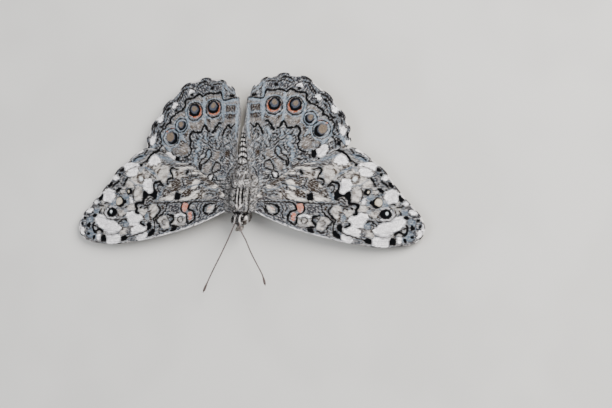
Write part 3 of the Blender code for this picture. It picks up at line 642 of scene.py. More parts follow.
hindwingMarks = {
    "dusk": {
        "patches": [
            [52, 266, 74, 266, 95, 263, 120, 261, 142, 259, 149, 239, 177, 222, 182, 209, 196, 198, 208, 184, 209,
                162, 223, 144, 246, 146, 242, 180, 226, 212, 204, 240, 178, 266, 148, 290, 100, 302, 60, 296],
            [16, 236, 42, 235, 42, 219, 15, 217], [14, 216, 46, 216, 42, 208, 20, 206],
            [28, 136, 44, 135, 44, 123, 30, 122], [34, 106, 46, 104, 48, 84, 34, 82],
        ],
    },
    "brown": {
        "patches": [
            [32, 233, 41, 233, 41, 221, 33, 221], [18, 234, 26, 234, 26, 222, 19, 222],
            [20, 213, 33, 213, 32, 208, 22, 207], [31, 134, 42, 133, 41, 124, 32, 125],
            [104, 129, 113, 129, 112, 117, 106, 116], [142, 172, 149, 171, 149, 158, 143, 158],
            [45, 176, 50, 175, 50, 169, 46, 169], [83, 258, 88, 257, 88, 249, 84, 248],
            [132, 248, 137, 247, 136, 240, 132, 241], [53, 205, 60, 205, 58, 200, 53, 200],
            [136, 189, 142, 189, 142, 174, 138, 173], [75, 206, 88, 206, 86, 201, 76, 202],
            [19, 259, 32, 258, 32, 252, 20, 252],
        ],
    },
    "pink": {
        "patches": [
            [21, 206, 36, 204, 47, 196, 44, 184, 37, 194, 31, 194, 26, 191, 20, 195],
            [54, 206, 72, 204, 88, 206, 89, 198, 84, 186, 73, 181, 68, 192, 60, 200],
            [98, 207, 116, 202, 130, 204, 130, 190, 122, 186, 106, 184, 99, 192, 95, 201],
            [134, 202, 140, 182, 139, 168, 131, 164, 134, 180],
            [133, 154, 142, 160, 154, 150, 155, 136, 146, 131, 136, 136],
            [52, 258, 65, 260, 80, 261, 90, 259, 90, 250, 72, 253, 54, 249],
            [100, 255, 110, 259, 124, 253, 136, 252, 139, 236, 135, 246, 120, 250, 104, 249],
            [146, 228, 156, 224, 170, 216, 175, 208, 170, 202, 166, 214, 152, 219],
            [172, 199, 186, 199, 196, 189, 200, 180, 199, 170, 197, 182, 186, 194],
            [14, 243, 43, 242, 44, 238, 16, 239], [86, 123, 96, 122, 99, 114, 90, 116],
            [54, 106, 63, 108, 70, 98, 66, 94, 55, 96], [55, 134, 70, 130, 70, 119, 58, 120],
            [160, 153, 170, 149, 170, 144, 162, 146], [74, 114, 88, 108, 94, 96, 84, 90, 76, 102],
        ],
    },
    "white": {
        "patches": [
            [165, 124, 168, 130, 177, 137, 188, 140, 191, 137, 188, 126, 183, 118, 174, 113, 169, 118],
            [122, 274, 134, 273, 135, 269, 125, 269], [164, 249, 172, 248, 173, 239, 167, 239],
            [199, 224, 214, 214, 212, 209, 202, 212], [216, 182, 224, 180, 230, 164, 226, 159, 219, 169],
            [230, 148, 240, 148, 238, 140, 232, 139], [71, 84, 79, 83, 80, 76, 74, 76],
        ],
        "strokes": [(0.1, [169, 156, 178, 153, 190, 157])],
    },
    "blue": {
        "strokes": [
            (0.12, [17, 236, 30, 235.5, 42, 235, 42.5, 227, 42, 218, 30, 217.5, 17, 218, 16, 226, 17, 236]),
            (0.1, [21, 260, 33, 267, 43, 280]), (0.26, [47, 280, 48, 250, 47, 220, 46, 203]),
            (0.28, [95, 256, 95, 230, 93, 210, 90, 196]), (0.25, [138, 236, 137, 218, 135, 202, 131, 190]),
            (0.22, [81, 139, 83, 131, 81, 125]), (0.3, [15, 245, 30, 244, 46, 242]),
            (0.22, [11.5, 234, 13, 210, 14.5, 186, 19, 160]), (0.26, [113, 129, 114, 120, 113, 110]),
            (0.3, [190, 114, 204, 119, 220, 122]), (0.25, [188, 152, 182, 148, 179, 144]),
            (0.22, [141, 162, 150, 174, 152, 179]), (0.26, [219, 159, 225, 152, 227, 143]),
            (0.22, [56, 180, 61, 172, 63, 162]), (0.25, [100, 169, 109, 159, 104, 146, 114, 137]),
            (0.2, [89, 174, 90, 166, 85, 161]),
        ],
        "rings": [
            (7.1, 22.95, 2.3, 0.1), (11.85, 22.65, 2.3, 0.1), (15.2, 19.8, 1.2, 0.16), (15.2, 19.8, 1.8, 0.1),
            (17.7, 17.3, 1.65, 0.12), (17.7, 17.3, 2.3, 0.14),
        ],
    },
    "rust": {
        "strokes": [(0.08, [169, 193, 178, 193.5])],
        "rings": [(7.05, 23, 1.52, 0), (11.7, 22.68, 1.52, 0), (18.8, 18.7, 0.22, 0)],
    },
    "black": {
        "patches": [
            [156, 130, 164, 130, 164, 116, 160, 112, 156, 116], [72, 277, 79, 277, 80, 272, 73, 271],
            [123, 267, 131, 266, 130, 262, 124, 262], [163, 235, 168, 234, 170, 230, 164, 229],
            [181, 239, 188, 238, 190, 234, 183, 234], [192, 207, 202, 202, 208, 198, 202, 196],
            [213, 207, 219, 205, 221, 200, 214, 200], [232, 168, 239, 164, 240, 156, 234, 153],
            [212, 150, 219, 146, 218, 138, 212, 139], [20, 257, 31, 256, 32, 253, 20, 253],
            [168, 116, 176, 112, 186, 115, 184, 108, 172, 107], [70, 181, 74, 180, 74, 175, 70, 175],
        ],
        "strokes": [
            (0.17, [16, 249, 31, 247.5, 44, 246, 48, 248, 50, 255, 53, 262, 65, 263, 74, 262, 81, 264, 89, 263,
                95, 259, 100, 259, 108, 263, 114, 262, 120, 257, 130, 255, 138, 255, 143, 250, 143.5, 240, 149,
                233, 158, 229, 168, 223, 176, 218.5, 179.5, 213, 179, 207, 185, 204.5, 190.5, 200.5, 193, 194,
                199, 193, 204, 187, 205, 180, 203, 173, 201, 168, 206, 162]),
            (0.13, [200, 158, 206, 151, 209, 142, 208, 134]),
            (0.17, [20, 192, 25, 187.5, 29, 183.5, 31, 186, 33, 191, 36, 191, 40, 185, 45, 176, 48, 169]),
            (0.19, [51, 197, 57, 197, 62, 193, 66, 187, 69, 180, 72, 176]),
            (0.19, [78, 182, 83, 181, 88, 189, 92, 195, 96, 191, 99, 184, 103, 180.5, 110, 179.5, 117, 180.5, 123,
                183, 127, 179, 130, 170, 126, 161, 129, 153, 125.5, 144, 129, 133, 136, 128, 147, 127]),
            (0.12, [52, 105, 55, 109.5, 60, 112, 64, 111, 68, 106, 71, 101, 73.5, 95, 72, 90, 63, 92, 55, 94,
                51.5, 98, 52, 105]),
            (0.12, [68, 89, 68.5, 81, 71, 76, 75, 73, 80, 72.5, 83, 76, 83.5, 80, 80, 84, 76, 87, 73, 90]),
            (0.13, [75, 137, 74, 130, 77, 124, 82, 119.5, 87, 115.5, 92, 112, 99, 109, 100, 103, 101.5, 99, 104.5,
                102, 105, 108, 103, 115, 99, 119, 93, 122.5, 90, 126, 88.5, 131, 86, 137, 81, 141, 75, 137]),
            (0.09, [71, 145, 76, 146, 81, 150, 84, 155]), (0.08, [53, 187, 58, 189, 62, 185, 66, 178]),
            (0.07, [55, 178, 58, 170, 56, 162]), (0.08, [69, 169, 78, 167, 80, 160, 75, 154, 69, 152]),
            (0.07, [62, 166, 66, 158, 63, 150]),
            (0.09, [84, 175, 87, 166, 83, 157, 92, 156, 100, 162, 109, 166, 115, 171]),
            (0.08, [94, 172, 98, 166, 104, 172]), (0.09, [94, 148, 95, 139, 100, 131, 104, 127]),
            (0.07, [112, 162, 119, 160, 121, 151, 115, 145, 110, 149]), (0.07, [104, 154, 101, 144]),
            (0.09, [50, 149, 56, 142, 61, 139]), (0.07, [31, 173, 37, 169, 36, 162]),
            (0.07, [27, 176, 33, 177, 39, 173]), (0.07, [32, 153, 39, 150, 44, 143]),
            (0.07, [46, 122, 52, 119, 51, 113]), (0.07, [120, 124, 128, 120, 136, 123, 142, 118]),
            (0.07, [124, 114, 132, 110, 142, 112, 148, 107]), (0.08, [28, 96, 34, 86, 36, 76]),
            (0.11, [83, 286, 90.5, 289.5, 100, 290, 109, 286, 116, 279]),
            (0.08, [80, 281, 90, 283.5, 100, 282, 109, 277]), (0.1, [150, 274, 155, 266, 160, 257, 164, 250]),
            (0.08, [147, 270, 152, 262, 158, 252]), (0.12, [139, 277, 145, 275, 150, 273]),
            (0.1, [188, 233, 193, 226, 197, 219]), (0.09, [182, 229, 187, 221, 190, 213]),
            (0.1, [219, 198, 222, 189, 221, 182]), (0.1, [209, 190, 212, 180, 211, 170, 215, 162]),
            (0.1, [39, 266, 44, 272, 47, 278]), (0.09, [54, 282, 64, 284, 73, 282]),
            (0.1, [210, 154, 219, 149, 225, 142]), (0.09, [139, 122, 149, 121, 153, 115]),
            (0.1, [132, 286, 143, 285, 153, 279, 162, 270, 168, 262]),
            (0.1, [176, 250, 186, 245, 195, 236, 200, 228]), (0.1, [214, 210, 223, 202, 229, 190]),
        ],
        "rings": [
            (7.2, 23.25, 1.45, 0), (7.1, 22.95, 1.95, 0.1), (11.85, 22.9, 1.45, 0), (11.85, 22.65, 1.95, 0.1),
            (15, 19.75, 1, 0), (15.2, 19.8, 1.5, 0.1), (17.35, 17.1, 1.35, 0), (17.7, 17.3, 1.95, 0.1),
            (7.2, 23.5, 0.75, 0.05), (11.9, 23.15, 0.75, 0.05),
        ],
    },
    "tan": {
        "rings": [(7.2, 23.4, 0.92, 0), (11.9, 23.05, 0.92, 0), (15.25, 20, 0.78, 0), (17.9, 17.4, 1.12, 0)],
    },
    "pupil": {
        "rings": [(7.2, 23.6, 0.56, 0), (11.9, 23.25, 0.56, 0), (15.25, 20.05, 0.62, 0), (17.95, 17.45, 0.98, 0)],
    },
}


# The scales of the wings: a mottled ground with the marks laid over it, each with its own soft edge

# the values that the wings' points carry, three to an attribute
carried = {
    "marksA": ("dusk", "brown", "pink"),
    "marksB": ("white", "blue", "rust"),
    "marksC": ("black", "tan", "pupil"),
    "edge": ("margin", "between", "under"),
    "course": ("along", "across", "toVein"),
}
wingLook = {
    "ground": [tint(24, 22, 22), tint(74, 70, 68), tint(184, 182, 182)],
    "warm": tint(80, 68, 57),
    "cool": tint(74, 84, 94),
    "streaks": [tint(36, 28, 22), tint(226, 219, 210)],
    "under": [tint(120, 112, 102), tint(190, 184, 174), tint(62, 54, 48)],
    "fringe": [tint(40, 38, 40), tint(226, 222, 220)],
    "rim": tint(34, 31, 30),
    "maze": tint(36, 38, 42),
    "halo": tint(126, 138, 150),
    "veil": tint(178, 172, 176),
    "shade": tint(50, 45, 43),
    # width in mm of the blotches of each noise
    "sizes": {
        "ragged": 0.4, "flecks": 0.85, "fine": 0.26, "clouds": 1.5, "bands": 1.5, "warm": 2.2, "cool": 1.1,
        "winding": 1.9, "grain": 0.13, "under": 1.2, "dust": 0.2,
    },
    # how many turns the winding lines take, how ragged the marks' edges are, and how far streaks are drawn out
    "turns": 27.0,
    "raggedness": 2.6,
    "drawnOut": 0.4,
    # colour, softness of its edge in mm, and how much of the colour under it it hides
    "marks": {
        "dusk": (tint(44, 44, 49), 0.3, 0.75),
        "brown": (tint(44, 35, 28), 0.2, 0.95),
        "pink": (tint(118, 110, 104), 0.2, 0.7),
        "white": (tint(250, 247, 249), 0.12, 0.95),
        "blue": (tint(118, 132, 146), 0.16, 0.75),
        "rust": (tint(160, 86, 54), 0.14, 0.85),
        "black": (tint(9, 10, 12), 0.1, 1.0),
        "tan": (tint(66, 70, 80), 0.14, 0.95),
        "pupil": (tint(106, 94, 82), 0.16, 0.95),
    },
    # what differs on the forewings: their palest patches, bars and the middles of their spots
    "foreMarks": {
        "pink": (tint(205, 198, 191), 0.2, 0.75),
        "blue": (tint(98, 111, 125), 0.18, 0.65),
        "rust": (tint(190, 116, 95), 0.14, 0.75),
        "tan": (tint(190, 180, 164), 0.16, 0.95),
        "pupil": (tint(205, 212, 216), 0.1, 0.9),
    },
}


def makeWingLook(name, maze, cool, own={}):
    # maze and cool weigh the winding dark lines and the blue-grey of the ground; own are this wing's own marks.
    # The ground is three greys chosen by noise. A mark covers it where its distance, with noise added, is under 0.
    marks, size = {**wingLook["marks"], **own}, wingLook["sizes"]
    look, start, shader = newLook(name, 0.85, {"Specular IOR Level": 0.03})
    read = {}
    for key, names in carried.items():
        read.update(zip(names, channels(start, key)))
    course = start.node("ShaderNodeAttribute", {"attribute_name": "course"}, out="Vector")
    stretch = (wingLook["drawnOut"] * mm, mm, 0.0)
    streak = start.node("ShaderNodeVectorMath", {"operation": "MULTIPLY"}, {0: course, 1: stretch})
    wobble = (noise(start, size["ragged"], 3.0, 0.65, streak) - 0.5) * wingLook["raggedness"]
    flecks = noise(start, size["flecks"], 3.0, 0.65, streak)
    fine = noise(start, size["fine"], 2.0, 0.7, streak)
    clouds = noise(start, size["clouds"], 3.0, 0.6)
    cells = {"Vector": place(start), "Scale": 1 / (size["grain"] * mm)}
    grain = start.node("ShaderNodeTexVoronoi", {}, cells, out="Color")
    speck = grain.node("ShaderNodeSeparateXYZ", {}, {0: grain})
    # the ground
    low, middle, high = wingLook["ground"]
    colour = mix(mix(low, middle, flecks.step(0.38, 0.48)), high, flecks.step(0.53, 0.63))
    colour = mix(colour, wingLook["warm"], noise(start, size["warm"], 2.0).step(0.5, 0.62) * 0.45)
    colour = mix(colour, wingLook["cool"], noise(start, size["cool"], 2.0).step(0.5, 0.64) * cool)
    winding = start.math("SINE", noise(start, size["winding"], 1.5, 0.5) * wingLook["turns"])
    colour = mix(colour, wingLook["halo"], (1 - winding.step(-0.9, -0.2)) * (0.55 * maze))
    colour = mix(colour, wingLook["maze"], winding.step(0.2, 0.9) * clouds.step(0.4, 0.54) * maze)
    colour = mix(colour, wingLook["shade"], (1 - clouds.step(0.36, 0.54)) * maze * 0.75)
    if own:
        # the forewing is paler outwards, and brown and cream streaks cross its root behind the cell
        colour = mix(colour, own["pink"][0], read["along"].band(21.0, 34.0, 1.5) * flecks.step(0.44, 0.58) * 0.45)
        behind = start.node("ShaderNodeSeparateXYZ", {}, {0: place(start)}, out=1)
        behind = behind.step((2.2 + shiftY) * mm, (2.8 + shiftY) * mm) * (1 - read["along"].step(15.5, 18.5))
    # soft marks; calm is where the fine flecks fade
    calm = 1.0
    for key in ("pink", "dusk", "brown", "white"):
        tone, soft, share = marks[key]
        if own and key == "dusk":
            bands = noise(start, size["bands"], 2.5, 0.6, streak)
            dark, pale = wingLook["streaks"]
            colour = mix(colour, dark, (1 - bands.step(0.44, 0.5)) * behind * 0.95)
            colour = mix(colour, pale, bands.step(0.54, 0.58) * behind * 0.8)
        if key == "white" or own and key == "pink":
            colour = mix(colour, wingLook["rim"], (read[key] + wobble * 0.6).band(0.0, 0.4, 0.12) * 0.9)
        inside = 1 - (read[key] - 0.1 + wobble * (0.4 if key in ("dusk", "brown") else 0.6)).step(-soft, soft)
        calm = (1 - inside * 0.6) * calm
        if key == "white":
            tone = mix(tone, wingLook["veil"], flecks.step(0.5, 0.62) * 0.5)
            tone = mix(tone, wingLook["veil"], (1 - (read[key] + wobble * 0.3).step(-0.75, -0.35)) * 0.25)
        if key == "pink":
            tone = mix(tone, wingLook["warm"], (1 - flecks.step(0.4, 0.49)) * 0.6)
        colour = mix(colour, tone, inside * share)
    colour = mix(colour, low, (1 - fine.step(0.38, 0.48)) * calm * 0.5)
    colour = mix(colour, high, fine.step(0.54, 0.64) * calm * 0.42)
    colour = mix(colour, wingLook["cool"], (1 - read["toVein"].step(0.05, 0.2)) * 0.3)
    # a pale line and a shade beside the black marks, and then the sharp marks
    colour = mix(colour, wingLook["halo"], (read["black"] + wobble * 0.2).band(0.16, 0.3, 0.07) * 0.55)
    colour = mix(colour, wingLook["shade"], (1 - (read["black"] + wobble * 0.3).step(0.08, 0.4)) * 0.55)
    for key in ("blue", "rust", "black", "tan", "pupil"):
        tone, soft, share = marks[key]
        colour = mix(colour, tone, (1 - (read[key] + wobble * 0.12).step(-soft, soft)) * share)
        if key == "rust":
            colour = mix(colour, high, fine.step(0.52, 0.64) * 0.5)
    rim = 1 - (read["margin"] + wobble * 0.4).step(0.14, 0.34)
    colour = mix(colour, mix(*wingLook["fringe"], read["between"].step(0.35, 0.7)), rim * 0.85)
    # the underside is paler, with faint marks
    shade, pale, dark = wingLook["under"]
    below = mix(pale, shade, noise(start, size["under"], 3.0).step(0.42, 0.62))
    below = mix(below, dark, (1 - (read["black"] + wobble * 0.4).step(-0.25, 0.0)) * 0.8)
    below = mix(below, pale, (1 - read["pupil"].step(-0.1, 0.1)))
    colour = mix(colour, below, read["under"])
    light = speck.step(0.0, 1.0) * 0.5 + noise(start, size["dust"], 2.0, 0.7).step(0.3, 0.7) * 0.3 + 0.6
    feed(shader, "Base Color", scaled(colour, light))
    feed(shader, "Normal", bump(start, speck * 0.6 + fine * 0.4, 0.45, 0.04))
    return look


def wingFields(wing, marks):
    # the marks, course and edge of each point of the grid, for the upper sheet and then the lower one
    u, v = np.meshgrid(np.linspace(0, 1, wing["rows"]), np.linspace(0, 1, wing["columns"]))
    plan = wingPlan(wing, u, v)
    chord = np.linalg.norm(smoothLine(wing["costa"])(u) - smoothLine(wing["inner"])(u), axis=-1)
    toVein = veinDistance(wing, u, v, chord)
    flat = plan.reshape(-1, 2)
    unsteady = 0.07 * np.stack([ripple(flat, 1.3, 5), ripple(flat, 1.3, 6)], axis=-1)
    reach = np.linalg.norm(smoothLine(wing["outer"])(v) - wing["costa"][0], axis=-1)
    course = np.stack([u * reach, v * chord, toVein], axis=-1).reshape(-1, 3)
    edge = np.stack([(1 - u) * reach, betweenVeins(wing, v), 0 * u], axis=-1).reshape(-1, 3)
    fields = {"course": np.tile(course, (2, 1)), "edge": np.concatenate([edge, edge + [0, 0, 1]])}
    for key in ("marksA", "marksB", "marksC"):
        layers = [markField(flat + unsteady, marks.get(part, {})) for part in carried[key]]
        fields[key] = np.tile(np.stack(layers, axis=-1), (2, 1))
    return {"u": u, "v": v, "plan": plan, "toVein": toVein, "fields": fields}


# Relief of the wings in mm: half the plate's thickness at its rim and what it gains inwards, the veins' ridges above
# and below, soft waves, and the sag between veins. All but the plate fades out towards the root, over a share of the
# wing's length.
wingSheet = {
    "half": 0.045, "gain": 0.045, "rimRate": 60, "ridge": 0.1, "ridgeBelow": 0.05, "ridgeWidth": 0.17,
    "waves": 0.04, "waveSize": 6.0, "sag": 0.05, "sagWidth": 1.2, "rootFade": 0.13,
}


def makeWing(name, wing, side, slot):
    # a closed plate: an upper and a lower sheet of the same grid, joined round the rim
    u, v, plan, toVein = (wing["grid"][key] for key in ("u", "v", "plan", "toVein"))
    sheet = wingSheet
    fade = ease(u / sheet["rootFade"])
    ridge = np.exp(-((toVein / sheet["ridgeWidth"]) ** 2)) * fade
    waves = sheet["waves"] * ripple(plan, sheet["waveSize"], 3) * fade
    waves = waves - sheet["sag"] * ease(toVein / sheet["sagWidth"]) * fade
    z = wing["height"](plan[..., 0], plan[..., 1]) + waves
    rim = np.minimum.reduce([u, 1 - u, v, 1 - v]) * sheet["rimRate"]
    half = sheet["half"] + sheet["gain"] * ease(rim)
    upper = np.dstack([plan, z + half + sheet["ridge"] * ridge])
    lower = np.dstack([plan, z - half - sheet["ridgeBelow"] * ridge])
    points = np.concatenate([upper.reshape(-1, 3), lower.reshape(-1, 3)]) * [side, 1.0, 1.0]
    points = wing["pose"](points, side)
    at = np.arange(u.size).reshape(u.shape)
    quads = np.stack([at[:-1, :-1], at[1:, :-1], at[1:, 1:], at[:-1, 1:]], axis=-1).reshape(-1, 4)
    edge = np.concatenate([at[:, 0], at[-1, 1:], at[-2::-1, -1], at[0, -2:0:-1]])
    beyond = np.roll(edge, -1)
    wall = np.stack([edge, edge + u.size, beyond + u.size, beyond], axis=-1)
    faces = facingOut(points, [np.concatenate([quads, quads[:, ::-1] + u.size, wall])])
    return addPiece(name, points, faces, wing["look"], [name], fields=wing["grid"]["fields"])


wings = {
    "forewing": {
        "shape": forewing, "height": forewingHeight, "pose": forewingPose, "fringe": 4200,
        "look": makeWingLook("forewingScales", 0.45, 0.4, wingLook["foreMarks"]),
        "grid": wingFields(forewing, forewingMarks),
    },
    "hindwing": {
        "shape": hindwing, "height": hindwingHeight, "pose": hindwingPose, "fringe": 5000,
        "look": makeWingLook("hindwingScales", 0.7, 0.55),
        "grid": wingFields(hindwing, hindwingMarks),
    },
}
print("markings drawn")
for word, side in bothSides:
    for kind, wing in wings.items():
        makeWing(f"{kind}_{word}", wing, side, kind + "s")
print("wings made")


# The body's skin: one closed surface from the head to the tail's tip. Rows are y, half width, top and underside.

body = {
    "rows": [
        (-2.78, 0.3, 5.25, 4.4), (-2.7, 0.6, 5.6, 4.1), (-2.4, 1.05, 5.98, 3.8), (-2.0, 1.3, 6.2, 3.65),
        (-1.5, 1.35, 6.25, 3.7), (-1.1, 1.15, 6.08, 3.9), (-0.85, 0.9, 5.85, 4.1), (-0.6, 0.95, 5.8, 3.9),
        (-0.2, 1.4, 6.0, 3.35), (0.5, 1.9, 6.15, 2.8), (1.5, 2.25, 6.3, 2.4), (2.8, 2.4, 6.35, 2.25),
        (4.2, 2.3, 6.25, 2.3), (5.4, 1.95, 6.0, 2.45), (6.4, 1.5, 5.6, 2.75), (7.0, 1.15, 5.25, 3.0),
        (7.5, 1.1, 5.2, 3.0), (8.3, 1.22, 5.2, 2.7), (10.0, 1.3, 5.2, 2.6), (12.5, 1.22, 5.1, 2.7),
        (15.0, 1.02, 4.95, 2.95), (17.0, 0.76, 4.75, 3.3), (18.4, 0.43, 4.5, 3.7), (19.1, 0.14, 4.25, 4.0),
    ],
    "segments": (7.6, 18.9, 8),
    "groove": 0.05,
    "headTurn": 0.061,
    "tailTurn": 0.0384,
    # how far the soft sides reach out to meet the wings: y, reach from the midline, height
    "shoulders": [
        (-0.3, 0.0, 5.2), (0.15, 2.6, 5.3), (0.5, 3.05, 5.35), (3.0, 3.05, 5.3), (5.0, 3.05, 4.95), (6.2, 3.15, 4.85),
        (7.4, 2.9, 4.8), (8.5, 2.35, 4.75), (9.8, 1.8, 4.7), (11.5, 1.5, 4.7), (12.6, 1.3, 4.6), (13.4, 0.0, 4.5),
    ],
    # places along Y of the abdomen's dark bars, bent back at the sides, and of the pale spots between them
    "bars": [10.3, 12.0, 13.1, 14.2, 15.3, 16.2, 17.0, 17.8],
    "spots": [11.1, 12.55, 13.65, 14.75, 15.75, 16.65, 17.4],
}


def midlineX(y):
    # the head is turned a little to one side, and the abdomen swings the same way
    return body["headTurn"] * np.minimum(y - 0.5, 0) - body["tailTurn"] * np.maximum(y - 4.5, 0)


def skinPoint(t, angle):
    # a point on the skin at a share t of its length and an angle round it, 90 degrees being the back
    rows = np.array(body["rows"])
    y = np.interp(t, [0, 0.25, 0.62, 1], [-2.78, -0.5, 7.5, 19.1])
    half, top, under = (np.interp(y, rows[:, 0], rows[:, i]) for i in (1, 2, 3))
    first, last, count = body["segments"]
    place = np.clip((y - first) / (last - first), 0, 1) * count
    groove = body["groove"] * np.abs(np.cos(np.pi * place)) ** 12 * (y > first) * (y < last)
    x = (half - groove) * np.cos(angle)
    z = (top + under) / 2 + ((top - under) / 2 - groove) * np.sin(angle)
    shoulders = np.array(body["shoulders"])
    reach, height = (np.interp(y, shoulders[:, 0], shoulders[:, i]) for i in (1, 2))
    pull = np.exp(-(((z - height) / 0.3) ** 2)) * np.abs(np.cos(angle)) ** 0.5
    x = x + np.sign(x) * np.clip(reach - np.abs(x), 0, None) * pull
    return np.stack([midlineX(y) + x, y, z], axis=-1)


def near(value, places, width):
    # 1 at the places, falling off over the width
    away = np.min([np.abs(value - p) for p in np.atleast_1d(places)], axis=0)
    return np.exp(-((away / width) ** 2))


def bodyFields(points):
    # soft stripes and spots of the body, from the place on it alone: dark, white, rust
    x, y = points[:, 0] - midlineX(points[:, 1]), points[:, 1]
    side = np.abs(x)
    thorax = ease((y - 0.4) / 0.6) * (1 - ease((y - 4.7) / 0.4))
    stripes = near(side, [0.0, 0.78, 1.45], 0.16) * thorax
    collar = near(y - 0.5 - side, 0.0, 0.22) * (side < 0.9) * 0.8
    bent = y + 0.5 * x**2
    tail = ease((y - 9.9) / 0.4)
    bars = np.maximum(near(bent, body["bars"], 0.22), near(side, 0.0, 0.09) * 0.7) * tail
    bars = bars * (1 - 0.8 * ease((y - 16.8) / 1.0))
    cross = near(y, [3.1, 5.0], 0.1) * (side < 1.2) * 0.7
    head = (y < -0.4) * near(side, [0.2, 0.85], 0.16) * 0.8
    dark = np.clip(stripes * (1 - collar) + bars + cross + head + near(y, -0.3, 0.3) * 0.5, 0, 1)
    tuft = near(np.hypot(x / 1.25, (y - 5.95) / 0.85), 0.0, 0.9) * 0.75
    spots = near(bent, body["spots"], 0.26) * (0.05 + near(side, [0.27, 0.8], 0.17)) * tail
    spots = spots + ease((y - 17.2) / 1.2) * 0.7
    between = (near(side, 0.4, 0.18) * 0.6 + near(side, 1.15, 0.18) * 0.4) * thorax
    temples = (y < -0.8) * near(side, [0.52, 1.2], 0.2) * 0.75
    root = near(y, 8.2, 0.4) * near(side, 0.7, 0.4) * 0.6
    shoulders = ease((side - 1.6) / 0.4) * (y > 0) * (y < 9) * 0.26
    white = np.clip(tuft + spots + between + collar + temples + root + shoulders, 0, 1)
    rust = near(np.hypot(x + 0.15, y - 0.55), 0.0, 0.28) + near(side, 0, 0.14) * near(y, 7.8, 0.5) * 0.8
    return np.stack([dark, white, rust], axis=-1)


bodyLook = {
    "ground": [tint(128, 124, 121), tint(48, 44, 41), tint(176, 178, 183)],
    "white": tint(236, 232, 230),
    "rust": tint(98, 58, 38),
    "black": tint(14, 13, 14),
    # width in mm of the blotches of each noise
    "sizes": {"ragged": 0.4, "low": 0.5, "high": 0.35, "relief": 0.08},
}


def makeBodyLook(name, factor):
    # mottled grey under white, rust and black, each where its field with noise added is high, all times the factor
    look, start, shader = newLook(name, 0.85, {"Specular IOR Level": 0.06})
    black, white, rust = channels(start, "coat")
    size = bodyLook["sizes"]
    patchy = (noise(start, size["ragged"], 3.0) - 0.5) * 2.4
    middle, low, high = bodyLook["ground"]
    colour = mix(middle, low, noise(start, size["low"], 3.0).step(0.44, 0.56))
    colour = mix(colour, high, noise(start, size["high"], 2.0).step(0.52, 0.6) * 0.75)
    colour = mix(colour, bodyLook["white"], (white + patchy).step(0.3, 0.6))
    colour = mix(colour, bodyLook["rust"], (rust + patchy * 0.4).step(0.4, 0.8) * 0.8)
    colour = mix(colour, bodyLook["black"], (black + patchy * 0.5).step(0.3, 0.55))
    feed(shader, "Base Color", scaled(colour, factor))
    feed(shader, "Normal", bump(start, noise(start, size["relief"], 2.0), 0.5, 0.05))
    return look


# the skin under the tufts is the coat's look darkened to 0.9 times: painted shade beneath the hair
skinLook = makeBodyLook("bodySkin", 0.9)
coatLook = makeBodyLook("bodyCoat", 1.0)
t, angle = np.meshgrid(np.linspace(0, 1, 330), np.linspace(0, 2 * np.pi, 96, endpoint=False), indexing="ij")
rings = skinPoint(t, angle)
points, faces = closeRings(rings)
uv = np.concatenate([np.stack([t, angle / (2 * np.pi)], axis=-1).reshape(-1, 2), [[0, 0.5], [1, 0.5]]])
addPiece(
    "body_skin", points, facingOut(points, faces), skinLook, ["head", "thorax", "abdomen"], uv,
    {"coat": bodyFields(points)},
)


# Tufts: closed tapered spikes of three sides that lean along the lie of the coat

def tufts(root, way, bend, length, width, uv, patch=0.0015):
    # a tuft is two triangles and a tip: its base, its middle swung towards bend, and its end
    way, bend = unit(way), np.asarray(bend)
    side = unit(np.cross(way, bend + [0.013, 0.007, 0.029]))
    over = np.cross(side, way)
    angle = np.array([0.0, 2.1, 4.2])
    rings = []
    for share, wide, swing in ((0.0, 1.0, 0.0), (0.5, 0.85, 0.12)):
        centre = root + way * (length * share)[:, None] + bend * (length * swing)[:, None]
        spread = np.cos(angle)[None, :, None] * side[:, None] + 0.45 * np.sin(angle)[None, :, None] * over[:, None]
        rings.append(centre[:, None] + spread * (width * wide)[:, None, None])
    tip = (root + way * length[:, None] + bend * (length * 0.42)[:, None])[:, None]
    points = np.concatenate([*rings, tip], axis=1)
    index = 7 * np.arange(len(root))[:, None]
    base = np.array([[0, 2, 1]])
    quads = np.array([[0, 1, 4, 3], [1, 2, 5, 4], [2, 0, 3, 5]])
    end = np.array([[3, 4, 6], [4, 5, 6], [5, 3, 6]])
    tris = (index[..., None] + np.concatenate([base, end])).reshape(-1, 3)
    walls = (index[..., None] + quads).reshape(-1, 4)
    round7 = np.linspace(0, 2 * np.pi, 7, endpoint=False)
    spot = uv[:, None] + patch * np.stack([np.cos(round7), np.sin(round7)], axis=-1)
    return points.reshape(-1, 3), [tris, walls], spot.reshape(-1, 2)


def skinCoat(name, count, span, length, width, lift, back, out, angles):
    # tufts spread over the skin between two shares of its length; lift, back and out weigh the way they lean
    t = random.uniform(span[0], span[1], count)
    angle = np.radians(random.uniform(angles[0], angles[1], count))
    angle = np.where(random.random(count) < 0.5, angle, np.pi - angle)
    step = 1e-3
    root = skinPoint(t, angle)
    along = unit(skinPoint(t + step, angle) - skinPoint(t - step, angle))
    around = unit(skinPoint(t, angle + step) - skinPoint(t, angle - step))
    normal = unit(np.cross(along, around))
    outward = root - np.stack([midlineX(root[:, 1]), root[:, 1], np.full(count, 4.3)], axis=-1)
    normal = normal * np.sign((normal * outward).sum(axis=1, keepdims=True))
    stray = random.normal(0, 0.15, (count, 3))
    sideways = np.stack([np.sign(np.cos(angle)), 0 * t, 0 * t], axis=-1)
    way = normal * lift + along * back + sideways * out + stray
    bend = (along * back + sideways * out) * 0.6
    size = length * random.uniform(0.6, 1.15, count)
    wide = width * random.uniform(0.7, 1.2, count)
    uv = np.stack([t, (angle / (2 * np.pi)) % 1.0], axis=-1)
    points, faces, spot = tufts(root - normal * 0.05, way, bend, size, wide, uv)
    marks = np.repeat(bodyFields(root), 7, axis=0)
    return addPiece(name, points, faces, coatLook, uv=spot, fields={"coat": marks})


fringe = {"length": 0.3, "width": 0.024, "stray": 0.1}


